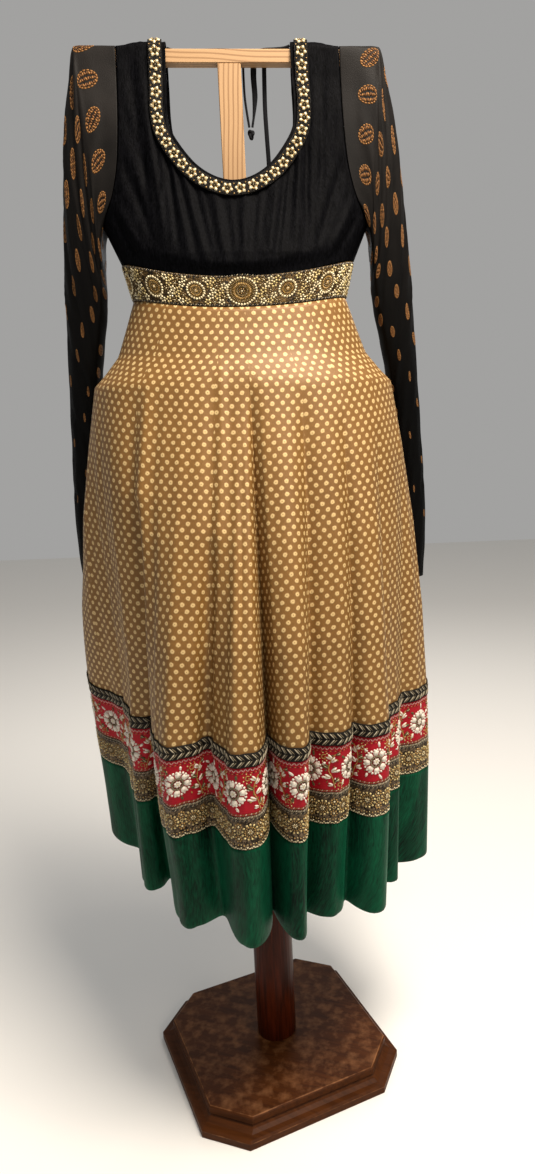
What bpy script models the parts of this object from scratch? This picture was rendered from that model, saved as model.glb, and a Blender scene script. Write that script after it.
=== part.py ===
"""An anarkali gown on its wooden display stand, at rest.

The gown is empty cloth: its shoulders lie over a batten, its hips over an oval hoop, and its skirt falls
in folds from there. Metres, +Z up, the front towards -Y, the wearer's right arm at -X, and the origin at
the middle of the stand's underside, on the floor.
"""
import math

import bmesh
import bpy
from mathutils import Vector

# Stand
BASE_HALF = 0.164
PLINTH_HALF = 0.182
BASE_TURN = math.radians(21.8)
CORNER_SHARE = 1.18  # distance of a clipped corner from the middle, in half-widths
BASE_TOP = 0.042
PLINTH_TOP = 0.026
POLE_R = 0.0347
POLE_TOP = 1.05
BATTEN = 0.018
POST_WIDTH = 0.033
BAR_HALF = 0.210
BAR_TOP = 1.641
HIP_BAR_TOP = 1.173
HOOP_R = 0.006
HOOP_HALF_WIDTH = 0.208
HOOP_HALF_DEPTH = 0.134
GAP = 0.0003

# Cloth
SEAM = 0.0003  # half of the gap between a panel and the one below it
SIDE_SEAM = 0.0007  # the same between front and back, whose walls lean towards each other
OUTLINE_POWER = 2.2
BODICE_WALL = 0.0013
SLEEVE_WALL = 0.0012
SKIRT_WALL = 0.0014
BORDER_WALL = 0.0018
VELVET_WALL = 0.0020
TRIM_WALL = 0.0018
TRIM_OFFSET = 1.4  # puts a trim's wall clear of the panel under it, in the Solidify modifier's terms
NECK_TRIM_RISE = 0.0032  # how far the neck trim's outer face stands off the panel's
NECK_TRIM_INSET = 0.005
NECK_TRIM_WIDTH = 0.019

# Heights of the seams, at the side seams
WAIST_Z = 1.355
BAND_FOOT_Z = 1.303
BRAID_TOP_Z = 0.701
FLORAL_TOP_Z = 0.681
GOLD_TOP_Z = 0.608
VELVET_TOP_Z = 0.555
HEM_Z = 0.392

# The shoulder lies over the batten in a quarter ellipse from FOLD_Z up to the ridge. A height above FOLD_Z
# counts along the cloth, so SHOULDER is the ridge.
FOLD_Z = 1.6395
FOLD_LENGTH = 0.018
SHOULDER = FOLD_Z + FOLD_LENGTH
FOLD_DEPTH = 0.0118
RIDGE_AT_NECK = 0.0125
RIDGE_AT_ARM = 0.0070
NECK_HALF = 0.0875
ARM_HALF = 0.156

# The bodice below the fold: height, half_width, front and back depth
BODICE = (
    (FOLD_Z, 0.230, 0.000, 0.000),
    (1.600, 0.225, 0.006, 0.005),
    (1.540, 0.213, 0.023, 0.016),
    (1.480, 0.203, 0.046, 0.034),
    (1.410, 0.195, 0.077, 0.056),
    (WAIST_Z, 0.171, 0.104, 0.080),
    (1.300, 0.160, 0.116, 0.088),
)

# The armhole seam from the shoulder to the armpit: out, height
ARMHOLE = (
    (ARM_HALF, SHOULDER),
    (ARM_HALF, 1.6475),
    (ARM_HALF, 1.6370),
    (0.1562, 1.600),
    (0.1575, 1.545),
    (0.1615, 1.492),
    (0.1690, 1.455),
    (0.1800, 1.427),
    (0.1950, 1.410),
)
SIDE_ROWS = 3

# The neckline from the shoulder to the middle: out, height
NECKLINE = (
    (NECK_HALF, SHOULDER),
    (NECK_HALF, 1.6475),
    (NECK_HALF, 1.6370),
    (0.0880, 1.597),
    (0.0888, 1.560),
    (0.0855, 1.532),
    (0.0725, 1.507),
    (0.0510, 1.480),
    (0.0260, 1.463),
    (0.0000, 1.457),
)
SHOULDER_COLUMNS = 2

# The skirt from the waist to the hem: side_z, front_sag, back_sag, half_width, front, back
SKIRT = (
    (WAIST_Z, 0.032, 0.012, 0.1710, 0.104, 0.080),
    (BAND_FOOT_Z, 0.022, 0.010, 0.1580, 0.112, 0.088),
    (1.266, 0.014, 0.008, 0.1710, 0.121, 0.102),
    (1.225, 0.008, 0.005, 0.1860, 0.135, 0.122),
    (1.198, 0.004, 0.003, 0.2080, 0.149, 0.142),
    (1.182, 0.003, 0.002, 0.2240, 0.156, 0.152),
    (1.090, 0.000, 0.000, 0.2400, 0.186, 0.165),
    (0.970, 0.000, 0.000, 0.2580, 0.224, 0.176),
    (0.830, 0.000, 0.000, 0.2730, 0.260, 0.188),
    (BRAID_TOP_Z, 0.000, 0.000, 0.2800, 0.280, 0.198),
    (VELVET_TOP_Z, 0.000, 0.000, 0.2830, 0.273, 0.206),
    (HEM_Z, 0.000, 0.000, 0.2800, 0.262, 0.212),
)
LIFT = 0.044  # how much higher the borders hang behind than in front
LIFT_FROM_Z = 1.00

# The valleys between the skirt's folds, round from behind the first side seam: hip_deg and hem_deg are
# where each lies at the hip and at the hem, depth is how far it goes in at the hem and lean how far it
# shifts back round towards the first, and start_z is where it begins. Of the fold that follows, crest is
# how far it stands out at the knee, tuck how much less it does at the hem, and peak how far across it
# its crest lies.
HIP_Z = 1.182
VALLEYS = (
    (-24, -45, 0.070, 0.000, 1.10, 0.026, 0.000, 0.50),
    (11, -6, 0.050, 0.015, 0.99, -0.066, 0.000, 0.45),
    (53, 46, 0.130, 0.075, 1.03, -0.008, 0.030, 0.66),
    (82, 71, 0.085, 0.000, 0.98, 0.022, 0.022, 0.70),
    (92, 93, 0.100, 0.006, 1.18, 0.008, 0.015, 0.50),
    (109, 104, 0.085, 0.000, 1.17, -0.024, 0.024, 0.55),
    (125, 121, 0.085, -0.015, 1.14, -0.016, 0.000, 0.40),
    (143, 140, 0.095, -0.030, 1.12, -0.044, 0.000, 0.55),
    (163, 161, 0.080, -0.015, 1.08, -0.004, 0.000, 0.50),
    (190, 192, 0.060, 0.000, 1.12, 0.000, 0.000, 0.60),
    (209, 208, 0.055, 0.010, 1.08, 0.008, 0.000, 0.45),
    (228, 230, 0.070, 0.000, 1.13, 0.000, 0.000, 0.40),
    (247, 246, 0.055, -0.010, 1.10, 0.010, 0.000, 0.55),
    (266, 266, 0.075, 0.000, 1.15, 0.004, 0.000, 0.50),
    (286, 283, 0.060, 0.010, 1.08, 0.000, 0.000, 0.60),
    (306, 300, 0.070, 0.000, 1.12, 0.010, 0.000, 0.45),
    (336, 315, 0.070, 0.000, 1.10, 0.026, 0.000, 0.50),
    (371, 354, 0.050, 0.015, 0.99, -0.066, 0.000, 0.45),
)
FIRST_SIDE_SEAM = 0.5  # the one at -X, in valleys counted from the first
SECOND_SIDE_SEAM = 8.5
BACK_SEAM_END = 16.5  # the first one again, a turn on
FOLD_PHASES = (0.0, 0.17, 0.5, 0.83)
WIDE_FOLD_PHASES = (0.0, 0.09, 0.25, 0.45, 0.66, 0.84, 0.94)
WIDE_FOLD = 1
SEAM_PHASE = 0.07  # a narrow strip along each side seam keeps the two walls' edges parallel
LOBE_POWER = 0.75

# A sleeve, ring by ring: the places of its outer and inner edge (out, height), its middle's y, its
# half-depth, and how much of the armhole's own shape it keeps
SLEEVE = (
    (0.1560, 1.6465, 0.1950, 1.410, 0.000, 0.034, 1.00),
    (0.1820, 1.6465, 0.1962, 1.399, 0.000, 0.034, 0.75),
    (0.2085, 1.6462, 0.1968, 1.387, 0.000, 0.034, 0.50),
    (0.2165, 1.6400, 0.1972, 1.372, 0.000, 0.034, 0.25),
    (0.2225, 1.6100, 0.1975, 1.355, 0.002, 0.034, 0.12),
    (0.2360, 1.5400, 0.1985, 1.335, 0.006, 0.033, 0.00),
    (0.2490, 1.4600, 0.2000, 1.310, 0.014, 0.032, 0.00),
    (0.2620, 1.3600, 0.2090, 1.270, 0.034, 0.031, 0.00),
    (0.2740, 1.2500, 0.2255, 1.205, 0.062, 0.030, 0.00),
    (0.2870, 1.1200, 0.2390, 1.105, 0.090, 0.028, 0.00),
    (0.2990, 0.9700, 0.2530, 0.965, 0.112, 0.026, 0.00),
    (0.2960, 0.8520, 0.2520, 0.850, 0.118, 0.025, 0.00),
)
SLEEVE_POWER = 2.5
ARMHOLE_CLEAR = 0.0012

# The back ties lie on the batten from the neck edges and hang behind it. Two end in one knot.
DORI_D = 0.0034
DORI_RIGHT = (
    (-0.0866, 0.0050, 1.6470),
    (-0.0790, 0.0045, 1.6444),
    (-0.0650, 0.0040, 1.6431),
    (-0.0350, 0.0015, 1.6431),
    (-0.0100, 0.0005, 1.6431),
    (0.0050, 0.0020, 1.6431),
    (0.0140, 0.0070, 1.6434),
    (0.0180, 0.0120, 1.6415),
    (0.0192, 0.0146, 1.6370),
    (0.0195, 0.0152, 1.6290),
    (0.0194, 0.0152, 1.6100),
    (0.0198, 0.0152, 1.5880),
    (0.0218, 0.0154, 1.5680),
    (0.0245, 0.0156, 1.5478),
)
DORI_LEFT = (
    (0.0866, -0.0035, 1.6470),
    (0.0790, -0.0035, 1.6444),
    (0.0650, -0.0035, 1.6431),
    (0.0520, -0.0020, 1.6431),
    (0.0430, 0.0025, 1.6431),
    (0.0380, 0.0080, 1.6434),
    (0.0358, 0.0125, 1.6415),
    (0.0350, 0.0147, 1.6370),
    (0.0345, 0.0152, 1.6290),
    (0.0338, 0.0152, 1.6120),
    (0.0346, 0.0152, 1.5880),
    (0.0322, 0.0154, 1.5650),
    (0.0290, 0.0156, 1.5478),
)
DORI_TAIL = (
    (0.0866, 0.0052, 1.6470),
    (0.0790, 0.0050, 1.6444),
    (0.0660, 0.0052, 1.6432),
    (0.0575, 0.0080, 1.6434),
    (0.0524, 0.0122, 1.6415),
    (0.0504, 0.0147, 1.6370),
    (0.0498, 0.0153, 1.6290),
    (0.0490, 0.0158, 1.6000),
    (0.0486, 0.0165, 1.5700),
    (0.0496, 0.0175, 1.5350),
    (0.0508, 0.0190, 1.5000),
    (0.0512, 0.0200, 1.4500),
)
DORI_STEP = 0.009
# Each knot's middle and its half-sizes
DORI_KNOTS = {
    "dori_knot": ((0.0268, 0.0157, 1.5382), (0.0056, 0.0044, 0.0080)),
    "dori_tail_knot": ((0.0512, 0.0201, 1.4425), (0.0044, 0.0040, 0.0062)),
}


def clear_scene():
    for old in list(bpy.data.objects):
        bpy.data.objects.remove(old, do_unlink=True)


def new_collection(name):
    made = bpy.data.collections.new(name)
    bpy.context.scene.collection.children.link(made)
    return made


def material(name, colour, roughness, metallic=0.0):
    made = bpy.data.materials.new(name)
    made.use_nodes = True
    shader = made.node_tree.nodes["Principled BSDF"]
    shader.inputs["Base Color"].default_value = (*colour, 1.0)
    shader.inputs["Roughness"].default_value = roughness
    shader.inputs["Metallic"].default_value = metallic
    return made


def add_object(name, data, finish):
    made = bpy.data.objects.new(name, data)
    data.materials.append(finish)
    parts.objects.link(made)
    return made


def add_bmesh(name, bm, finish, smooth=True):
    mesh = bpy.data.meshes.new(name)
    bm.to_mesh(mesh)
    bm.free()
    if smooth:
        mesh.shade_smooth()
        mesh.set_sharp_from_angle(angle=math.radians(40))
    return add_object(name, mesh, finish)


def box(name, low, high, finish, edge=0.001):
    bm = bmesh.new()
    bmesh.ops.create_cube(bm, size=1.0)
    for v in bm.verts:
        v.co = [a + (b - a) * (c + 0.5) for a, b, c in zip(low, high, v.co)]
    made = add_bmesh(name, bm, finish, smooth=False)
    rounding = made.modifiers.new("edges", "BEVEL")
    rounding.width = edge
    rounding.segments = 1
    return made


def clipped_square(half):
    """The eight corners of a turned square whose own corners are cut off."""
    reach = half * (CORNER_SHARE * math.sqrt(2) - 1)
    corners = []
    for quarter in range(4):
        for side in (-reach, reach):
            turn = BASE_TURN + quarter * math.pi / 2
            x, y = half, side
            corners.append((x * math.cos(turn) - y * math.sin(turn), x * math.sin(turn) + y * math.cos(turn)))
    return corners


def stacked_base(name, levels, finish):
    """A base moulding: a clipped square drawn up through (height, half-width) levels."""
    bm = bmesh.new()
    first_z, first_half = levels[0]
    ring = [bm.verts.new((x, y, first_z)) for x, y in clipped_square(first_half)]
    underside = face = bm.faces.new(ring)
    for z, half in levels[1:]:
        below = face
        grown = bmesh.ops.extrude_face_region(bm, geom=[face])
        face = next(g for g in grown["geom"] if isinstance(g, bmesh.types.BMFace))
        for v, (x, y) in zip(face.verts, ordered(face, clipped_square(half))):
            v.co = (x, y, z)
        if below is not underside:
            bmesh.ops.delete(bm, geom=[below], context="FACES_ONLY")
    bmesh.ops.recalc_face_normals(bm, faces=bm.faces)
    return add_bmesh(name, bm, finish, smooth=False)


def ordered(face, corners):
    """For each corner of the face, the new corner in the same direction from the middle."""
    def bearing(x, y):
        return math.atan2(y, x)
    found = []
    for v in face.verts:
        at = bearing(v.co.x, v.co.y)
        found.append(min(corners, key=lambda c: abs(math.remainder(bearing(*c) - at, 2 * math.pi))))
    return found


def tube(name, points, diameter, finish, closed=False):
    curve = bpy.data.curves.new(name, "CURVE")
    curve.dimensions = "3D"
    curve.bevel_depth = diameter / 2
    curve.bevel_resolution = 2
    curve.use_fill_caps = True
    spline = curve.splines.new("POLY")
    spline.points.add(len(points) - 1)
    for point, place in zip(spline.points, points):
        point.co = (*place, 1.0)
    spline.use_cyclic_u = closed
    return add_object(name, curve, finish)


def smooth_route(points, step):
    """Points about step apart on a smooth curve through the given ones."""
    route = []
    last = len(points) - 1
    for i in range(last):
        before, start, end, after = (points[max(0, min(last, i + k))] for k in (-1, 0, 1, 2))
        count = max(1, round(math.dist(start, end) / step))
        for k in range(count):
            t = k / count
            route.append(tuple(
                0.5 * (2 * b + (c - a) * t + (2 * a - 5 * b + 4 * c - d) * t**2 + (3 * b - a - 3 * c + d) * t**3)
                for a, b, c, d in zip(before, start, end, after)
            ))
    return route + [points[-1]]


def smoothstep(t):
    t = max(0.0, min(1.0, t))
    return t * t * (3 - 2 * t)


def read_table(table, height):
    """The table's row at a height, straight between its rows. The first column is the height, falling."""
    for above, below in zip(table, table[1:]):
        if height >= below[0]:
            break
    share = max(0.0, min(1.0, (above[0] - height) / (above[0] - below[0])))
    return tuple(a + (b - a) * share for a, b in zip(above, below))


def bodice_point(x, height, side):
    """The bodice's outer face: side is -1 in front and +1 behind."""
    if height > FOLD_Z:
        turn = (height - FOLD_Z) / FOLD_LENGTH * math.pi / 2
        near_arm = smoothstep((abs(x) - NECK_HALF - 0.035) / (ARM_HALF - NECK_HALF - 0.035))
        ridge = RIDGE_AT_NECK + (RIDGE_AT_ARM - RIDGE_AT_NECK) * near_arm
        return x, side * (FOLD_DEPTH * math.cos(turn) + SIDE_SEAM), FOLD_Z + ridge * math.sin(turn)
    _, half_width, front, back = read_table(BODICE, height)
    share = min(1.0, abs(x) / half_width)
    bulge = (1 - share**OUTLINE_POWER) ** (1 / OUTLINE_POWER) * (front if side < 0 else back)
    off_bar = FOLD_DEPTH * smoothstep((height - 1.41) / (1.56 - 1.41))
    return x, side * (off_bar + bulge + SIDE_SEAM), height


def valley(index, height):
    """A valley's bearing in degrees, its depth and lean, and the next fold's crest, at a height."""
    hip, hem, depth, lean, start_z, crest, tuck, _ = VALLEYS[index]
    down = smoothstep((HIP_Z - height) / (HIP_Z - HEM_Z))
    grown = max(0.0, (start_z - height) / (start_z - HEM_Z))
    settled = smoothstep((HIP_Z - height) / (HIP_Z - BRAID_TOP_Z))
    tucked = smoothstep((BRAID_TOP_Z - height) / (BRAID_TOP_Z - HEM_Z))
    return hip + (hem - hip) * down, depth * grown**0.8, lean * grown**2, crest * settled - tuck * tucked


def skew(index):
    """The power that brings the middle of the fold's arch to its peak."""
    return math.log(0.5) / math.log(VALLEYS[index][-1])


def skirt_point(fold, height):
    """The skirt's outer face: fold counts valleys round from the first, and height is the side seam's."""
    index = min(int(fold), len(VALLEYS) - 2)
    phase = fold - index
    start, *start_shape, crest = valley(index, height)
    end, *end_shape, _ = valley(index + 1, height)
    bearing = math.radians(start + (end - start) * phase)
    lobe = math.sin(math.pi * phase ** skew(index)) ** LOBE_POWER if 0 < phase < 1 else 0.0
    _, front_sag, back_sag, half_width, front, back = read_table(SKIRT, height)
    across, along = math.cos(bearing), math.sin(bearing)
    power = 2 / OUTLINE_POWER
    x = -half_width * math.copysign(abs(across) ** power, across)
    y = -(front if along > 0 else back) * math.copysign(abs(along) ** power, along)
    depth, lean = (a + (b - a) * phase for a, b in zip(start_shape, end_shape))
    reach = math.hypot(x, y)
    out = 1 + (crest * lobe - depth * (1 - lobe)) / reach
    shift = lean * (1 - lobe) / reach
    sag = (front_sag if along > 0 else back_sag) * along**2
    behind = smoothstep((0.1 - along) / 0.85) * smoothstep((LIFT_FROM_Z - height) / (LIFT_FROM_Z - BRAID_TOP_Z))
    return x * out + y * shift, y * out - x * shift, height - sag + LIFT * behind


def sheet(name, columns, rows, place, wall, finish, closed=False, offset=-1.0):
    """A cloth wall: a grid whose points place(column, row) sets, thickened inwards unless offset says."""
    bm = bmesh.new()
    bmesh.ops.create_grid(bm, x_segments=len(columns) - 1, y_segments=len(rows) - 1, size=0.5)
    for v in bm.verts:
        i = round((v.co.x + 0.5) * (len(columns) - 1))
        j = round((0.5 - v.co.y) * (len(rows) - 1))
        v.co = place(columns[i], rows[j])
    if closed:
        bmesh.ops.remove_doubles(bm, verts=bm.verts, dist=1e-5)
    made = add_bmesh(name, bm, finish)
    thickness = made.modifiers.new("wall", "SOLIDIFY")
    thickness.thickness = wall
    thickness.offset = offset
    thickness.use_even_offset = True
    return made


def apart(point, side):
    """The point moved off the side seam."""
    x, y, z = point
    return x, y + side * SIDE_SEAM, z


def fold_columns(start, end):
    """Columns from one side seam to the other, at the same phases of each fold."""
    found = {start, start + SEAM_PHASE, end - SEAM_PHASE, end}
    for index in range(len(VALLEYS) - 1):
        phases = WIDE_FOLD_PHASES if index == WIDE_FOLD else FOLD_PHASES
        places = [index + phase ** (1 / skew(index)) for phase in phases]
        found.update(place for place in places if start + SEAM_PHASE < place < end - SEAM_PHASE)
    return sorted(found)


def skirt_sheet(name, side, heights, wall, finish, offset=-1.0):
    start, end = (FIRST_SIDE_SEAM, SECOND_SIDE_SEAM) if side < 0 else (SECOND_SIDE_SEAM, BACK_SEAM_END)
    heights = [heights[0] - SEAM, *heights[1:-1], heights[-1] + SEAM]
    return sheet(name, fold_columns(start, end), heights,
                 lambda fold, height: apart(skirt_point(fold, height), side), wall, finish, offset=offset)


def panel_outline():
    """The bodice panel's four boundaries in (x, height), from the -X side: top, foot, and each side."""
    shoulder = [(ARM_HALF + (NECK_HALF - ARM_HALF) * k / SHOULDER_COLUMNS, SHOULDER) for k in range(SHOULDER_COLUMNS)]
    half = [(-x, z) for x, z in shoulder + list(NECKLINE)]
    top = half + [(-x, z) for x, z in reversed(half[:-1])]
    armpit_x, armpit_z = ARMHOLE[-1]
    waist_x, waist_z = SKIRT[0][3], WAIST_Z + 2 * SEAM
    side = list(ARMHOLE)
    for k in range(1, SIDE_ROWS + 1):
        share = k / SIDE_ROWS
        side.append((armpit_x + (waist_x - armpit_x) * share, armpit_z + (waist_z - armpit_z) * share))
    return top, side


def panel_foot(share, side):
    """The bodice's lower edge at a share of the way across, on the waistband's upper edge."""
    bearing = math.pi * share
    sag = SKIRT[0][1] if side < 0 else SKIRT[0][2]
    across = math.cos(bearing)
    x = -SKIRT[0][3] * math.copysign(abs(across) ** (2 / OUTLINE_POWER), across)
    return x, WAIST_Z + 2 * SEAM - sag * math.sin(bearing) ** 2


def bodice_sheet(name, side, finish):
    """A bodice panel: its four boundaries fix the points between them."""
    top, edge = panel_outline()
    lengths = [0.0]
    for a, b in zip(edge, edge[1:]):
        lengths.append(lengths[-1] + math.dist(a, b))
    shares = [length / lengths[-1] for length in lengths]
    count = len(top) - 1

    def place(i, j):
        u, v = i / count, shares[j]
        foot = panel_foot(u, side)
        across = []
        for k in (0, 1):
            out = edge[j][k] * (-1 if k == 0 else 1)
            far = edge[j][k]
            ruled = (1 - v) * top[i][k] + v * foot[k] + (1 - u) * out + u * far
            low, high = panel_foot(0, side)[k], panel_foot(1, side)[k]
            corners = (1 - v) * ((1 - u) * top[0][k] + u * top[-1][k]) + v * ((1 - u) * low + u * high)
            across.append(ruled - corners)
        return bodice_point(across[0], across[1], side)

    made = sheet(name, list(range(count + 1)), list(range(len(edge))), place, BODICE_WALL, finish)
    if side > 0:
        turn_inside_out(made)
    return made


def turn_inside_out(made):
    bm = bmesh.new()
    bm.from_mesh(made.data)
    bmesh.ops.reverse_faces(bm, faces=bm.faces)
    bm.to_mesh(made.data)
    bm.free()


def raised(x, height, rise):
    """A point that stands off the bodice's front."""
    near = 0.001
    here = Vector(bodice_point(x, height, -1))
    beside = Vector(bodice_point(x + near, height, -1))
    below = Vector(bodice_point(x, height - near, -1))
    return here + (below - here).cross(beside - here).normalized() * rise


def neck_trim(finish):
    """The beaded trim, from one shoulder down round the front neckline and up to the other."""
    half = [(-x, z) for x, z in NECKLINE]
    edge = half + [(-x, z) for x, z in reversed(half[:-1])]

    def place(i, j):
        before, after = edge[max(0, i - 1)], edge[min(len(edge) - 1, i + 1)]
        run = math.dist(before, after)
        out_x, out_z = (before[1] - after[1]) / run, (after[0] - before[0]) / run
        inset = NECK_TRIM_INSET + NECK_TRIM_WIDTH * j
        x, height = edge[i][0] - out_x * inset, min(SHOULDER, edge[i][1] - out_z * inset)
        return raised(x, height, NECK_TRIM_RISE)

    return sheet("neck_trim", list(range(len(edge))), [0, 1], place, TRIM_WALL, finish)


def sleeve(name, arm, finish):
    """A sleeve: arm is -1 for the one at -X. Its rings run from the armhole to the cuff."""
    last = len(ARMHOLE) - 1
    loop = list(range(2 * last + 1))

    def seam_point(j):
        side = -1 if j <= last else 1
        out, height = ARMHOLE[j if j <= last else 2 * last - j]
        x, y, z = bodice_point(out, height, side)
        return out + ARMHOLE_CLEAR, y if j % last else 0.0, z

    def place(j, ring):
        out_x, out_z, in_x, in_z, middle, half_depth, keeps = SLEEVE[ring]
        x, y, z = seam_point(j)
        share = max(0.0, min(1.0, (SLEEVE[0][1] - z) / (SLEEVE[0][1] - SLEEVE[0][3])))
        deep = half_depth * (1 - abs(2 * share - 1) ** SLEEVE_POWER) ** (1 / SLEEVE_POWER)
        own = (
            out_x + (in_x - out_x) * share,
            middle + (deep if j > last else -deep),
            out_z + (in_z - out_z) * share,
        )
        if ring:
            x += (out_x - SLEEVE[0][0]) * (1 - share) + (in_x - SLEEVE[0][2]) * share
            z += (out_z - SLEEVE[0][1]) * (1 - share) + (in_z - SLEEVE[0][3]) * share
        mixed = [keeps * a + (1 - keeps) * b for a, b in zip((x, y, z), own)]
        return arm * mixed[0], mixed[1], mixed[2]

    made = sheet(name, loop, list(range(len(SLEEVE))), place, SLEEVE_WALL, finish, closed=True)
    if arm > 0:
        turn_inside_out(made)
    return made


clear_scene()
parts = new_collection("anarkali_gown_on_stand")

pine = material("pine", (0.78, 0.56, 0.32), 0.6)
walnut = material("dark_stained_wood", (0.07, 0.025, 0.012), 0.35)
crushed = material("black_crinkle", (0.01, 0.011, 0.014), 0.8)
sheer = material("black_sheer", (0.015, 0.017, 0.022), 0.5)
brocade = material("gold_brocade", (0.50, 0.30, 0.10), 0.55)
embroidery = material("bronze_embroidery", (0.22, 0.15, 0.07), 0.5, 0.3)
beads = material("pale_gold_beads", (0.60, 0.50, 0.28), 0.35, 0.4)
red = material("red_embroidered", (0.42, 0.01, 0.02), 0.7)
braid = material("chevron_braid", (0.20, 0.17, 0.11), 0.6)
velvet = material("green_velvet", (0.01, 0.09, 0.045), 0.8)

# The stand
stacked_base("base_plinth", (
    (0.0, PLINTH_HALF - 0.001), (0.001, PLINTH_HALF), (0.013, PLINTH_HALF), (0.016, PLINTH_HALF - 0.003),
    (0.017, PLINTH_HALF - 0.011), (0.021, BASE_HALF + 0.001), (PLINTH_TOP, BASE_HALF - 0.003),
), walnut)
stacked_base("base_top", (
    (PLINTH_TOP + GAP, BASE_HALF - 0.003), (PLINTH_TOP + 0.003, BASE_HALF), (BASE_TOP - 0.003, BASE_HALF),
    (BASE_TOP, BASE_HALF - 0.003),
), walnut)
bpy.ops.mesh.primitive_cylinder_add(vertices=32, radius=POLE_R, depth=POLE_TOP - BASE_TOP - GAP,
                                    location=(0, 0, (POLE_TOP + BASE_TOP + GAP) / 2))
pole = bpy.context.active_object
pole.name = pole.data.name = "pole"
pole.data.materials.append(walnut)
pole.data.shade_smooth()
pole.data.set_sharp_from_angle(angle=math.radians(40))
for home in list(pole.users_collection):
    home.objects.unlink(pole)
parts.objects.link(pole)

half = BATTEN / 2
bar_foot = BAR_TOP - BATTEN
box("post", (-POST_WIDTH / 2, -half, POLE_TOP + GAP), (POST_WIDTH / 2, half, bar_foot - GAP), pine)
box("shoulder_bar", (-BAR_HALF, -half, bar_foot), (BAR_HALF, half, BAR_TOP), pine)
box("hip_bar", (-BAR_HALF, -half - GAP - BATTEN, HIP_BAR_TOP - BATTEN), (BAR_HALF, -half - GAP, HIP_BAR_TOP), pine)
hoop_z = HIP_BAR_TOP + GAP + HOOP_R
hoop_points = [(HOOP_HALF_WIDTH * math.cos(turn), HOOP_HALF_DEPTH * math.sin(turn), hoop_z)
               for turn in (2 * math.pi * k / 48 for k in range(48))]
tube("hip_hoop", hoop_points, 2 * HOOP_R, pine, closed=True)

# The bodice and sleeves
bodice_sheet("bodice_front", -1, crushed)
bodice_sheet("bodice_back", 1, crushed)
neck_trim(beads)
sleeve("sleeve_right", -1, sheer)
sleeve("sleeve_left", 1, sheer)

# The skirt, from the waistband to the hem
skirt_heights = [row[0] for row in SKIRT if BRAID_TOP_Z < row[0] <= BAND_FOOT_Z]
for word, side in (("front", -1), ("back", 1)):
    skirt_sheet("waistband_" + word, side, [WAIST_Z, BAND_FOOT_Z], BORDER_WALL, embroidery)
    skirt_sheet("skirt_" + word, side, [*skirt_heights, BRAID_TOP_Z, FLORAL_TOP_Z], SKIRT_WALL, brocade)
    skirt_sheet("braid_" + word, side, [BRAID_TOP_Z, FLORAL_TOP_Z], TRIM_WALL, braid, TRIM_OFFSET)
    skirt_sheet("floral_border_" + word, side, [FLORAL_TOP_Z, GOLD_TOP_Z], BORDER_WALL, red)
    skirt_sheet("gold_border_" + word, side, [GOLD_TOP_Z, VELVET_TOP_Z], BORDER_WALL, embroidery)
    skirt_sheet("velvet_hem_" + word, side, [VELVET_TOP_Z, (VELVET_TOP_Z + HEM_Z) / 2, HEM_Z], VELVET_WALL, velvet)

# The back ties
tube("dori_right", smooth_route(DORI_RIGHT, DORI_STEP), DORI_D, crushed)
tube("dori_left", smooth_route(DORI_LEFT, DORI_STEP), DORI_D, crushed)
tube("dori_tail", smooth_route(DORI_TAIL, DORI_STEP), DORI_D, crushed)
for knot_name, (middle, half_sizes) in DORI_KNOTS.items():
    knot = bmesh.new()
    bmesh.ops.create_uvsphere(knot, u_segments=12, v_segments=8, radius=1.0)
    for v in knot.verts:
        v.co = [c + h * p for c, h, p in zip(middle, half_sizes, v.co)]
    add_bmesh(knot_name, knot, crushed)
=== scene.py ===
import math
import bmesh
import bpy
import numpy as np
from mathutils import Matrix, Vector, noise


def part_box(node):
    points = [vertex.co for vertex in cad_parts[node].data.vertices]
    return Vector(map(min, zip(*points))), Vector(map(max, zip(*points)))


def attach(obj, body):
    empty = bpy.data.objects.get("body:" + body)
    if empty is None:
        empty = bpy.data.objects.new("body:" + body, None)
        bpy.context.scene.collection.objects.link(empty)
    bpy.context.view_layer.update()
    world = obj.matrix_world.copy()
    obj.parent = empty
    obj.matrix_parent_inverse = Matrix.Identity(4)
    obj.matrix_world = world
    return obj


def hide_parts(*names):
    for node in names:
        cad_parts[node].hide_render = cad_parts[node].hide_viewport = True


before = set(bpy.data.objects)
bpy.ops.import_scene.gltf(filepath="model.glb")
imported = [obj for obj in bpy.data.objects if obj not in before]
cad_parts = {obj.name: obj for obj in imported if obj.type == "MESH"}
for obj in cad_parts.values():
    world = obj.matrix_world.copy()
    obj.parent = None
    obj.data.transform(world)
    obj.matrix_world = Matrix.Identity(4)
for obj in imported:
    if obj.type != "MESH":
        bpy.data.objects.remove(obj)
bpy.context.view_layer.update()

# The view: level with the chest and a step and a half in front of the gown, a little to its left, looking
# slightly down. The frame is shifted so that the gown stands left of the middle.
EYE = (0.0332, -1.2849, 1.1227)
TURN_RIGHT = 0.0697
LOOK_DOWN = 0.209
TILT = -0.0298
LENS_MM = 24.72

forward = Vector((math.sin(TURN_RIGHT) * math.cos(LOOK_DOWN), math.cos(TURN_RIGHT) * math.cos(LOOK_DOWN),
                  -math.sin(LOOK_DOWN)))
level = Vector((math.cos(TURN_RIGHT), -math.sin(TURN_RIGHT), 0.0))
upright = level.cross(forward)
right = math.cos(TILT) * level + math.sin(TILT) * upright
up = math.cos(TILT) * upright - math.sin(TILT) * level
camera = bpy.data.objects.new("camera", bpy.data.cameras.new("camera"))
camera.matrix_world = Matrix.Translation(EYE) @ Matrix((right, up, -forward)).transposed().to_4x4()
camera.data.lens = LENS_MM
camera.data.shift_x = -0.0541
camera.data.shift_y = 0.0050
bpy.context.scene.collection.objects.link(camera)
bpy.context.scene.camera = camera
bpy.context.scene.view_settings.view_transform = "Standard"


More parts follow.
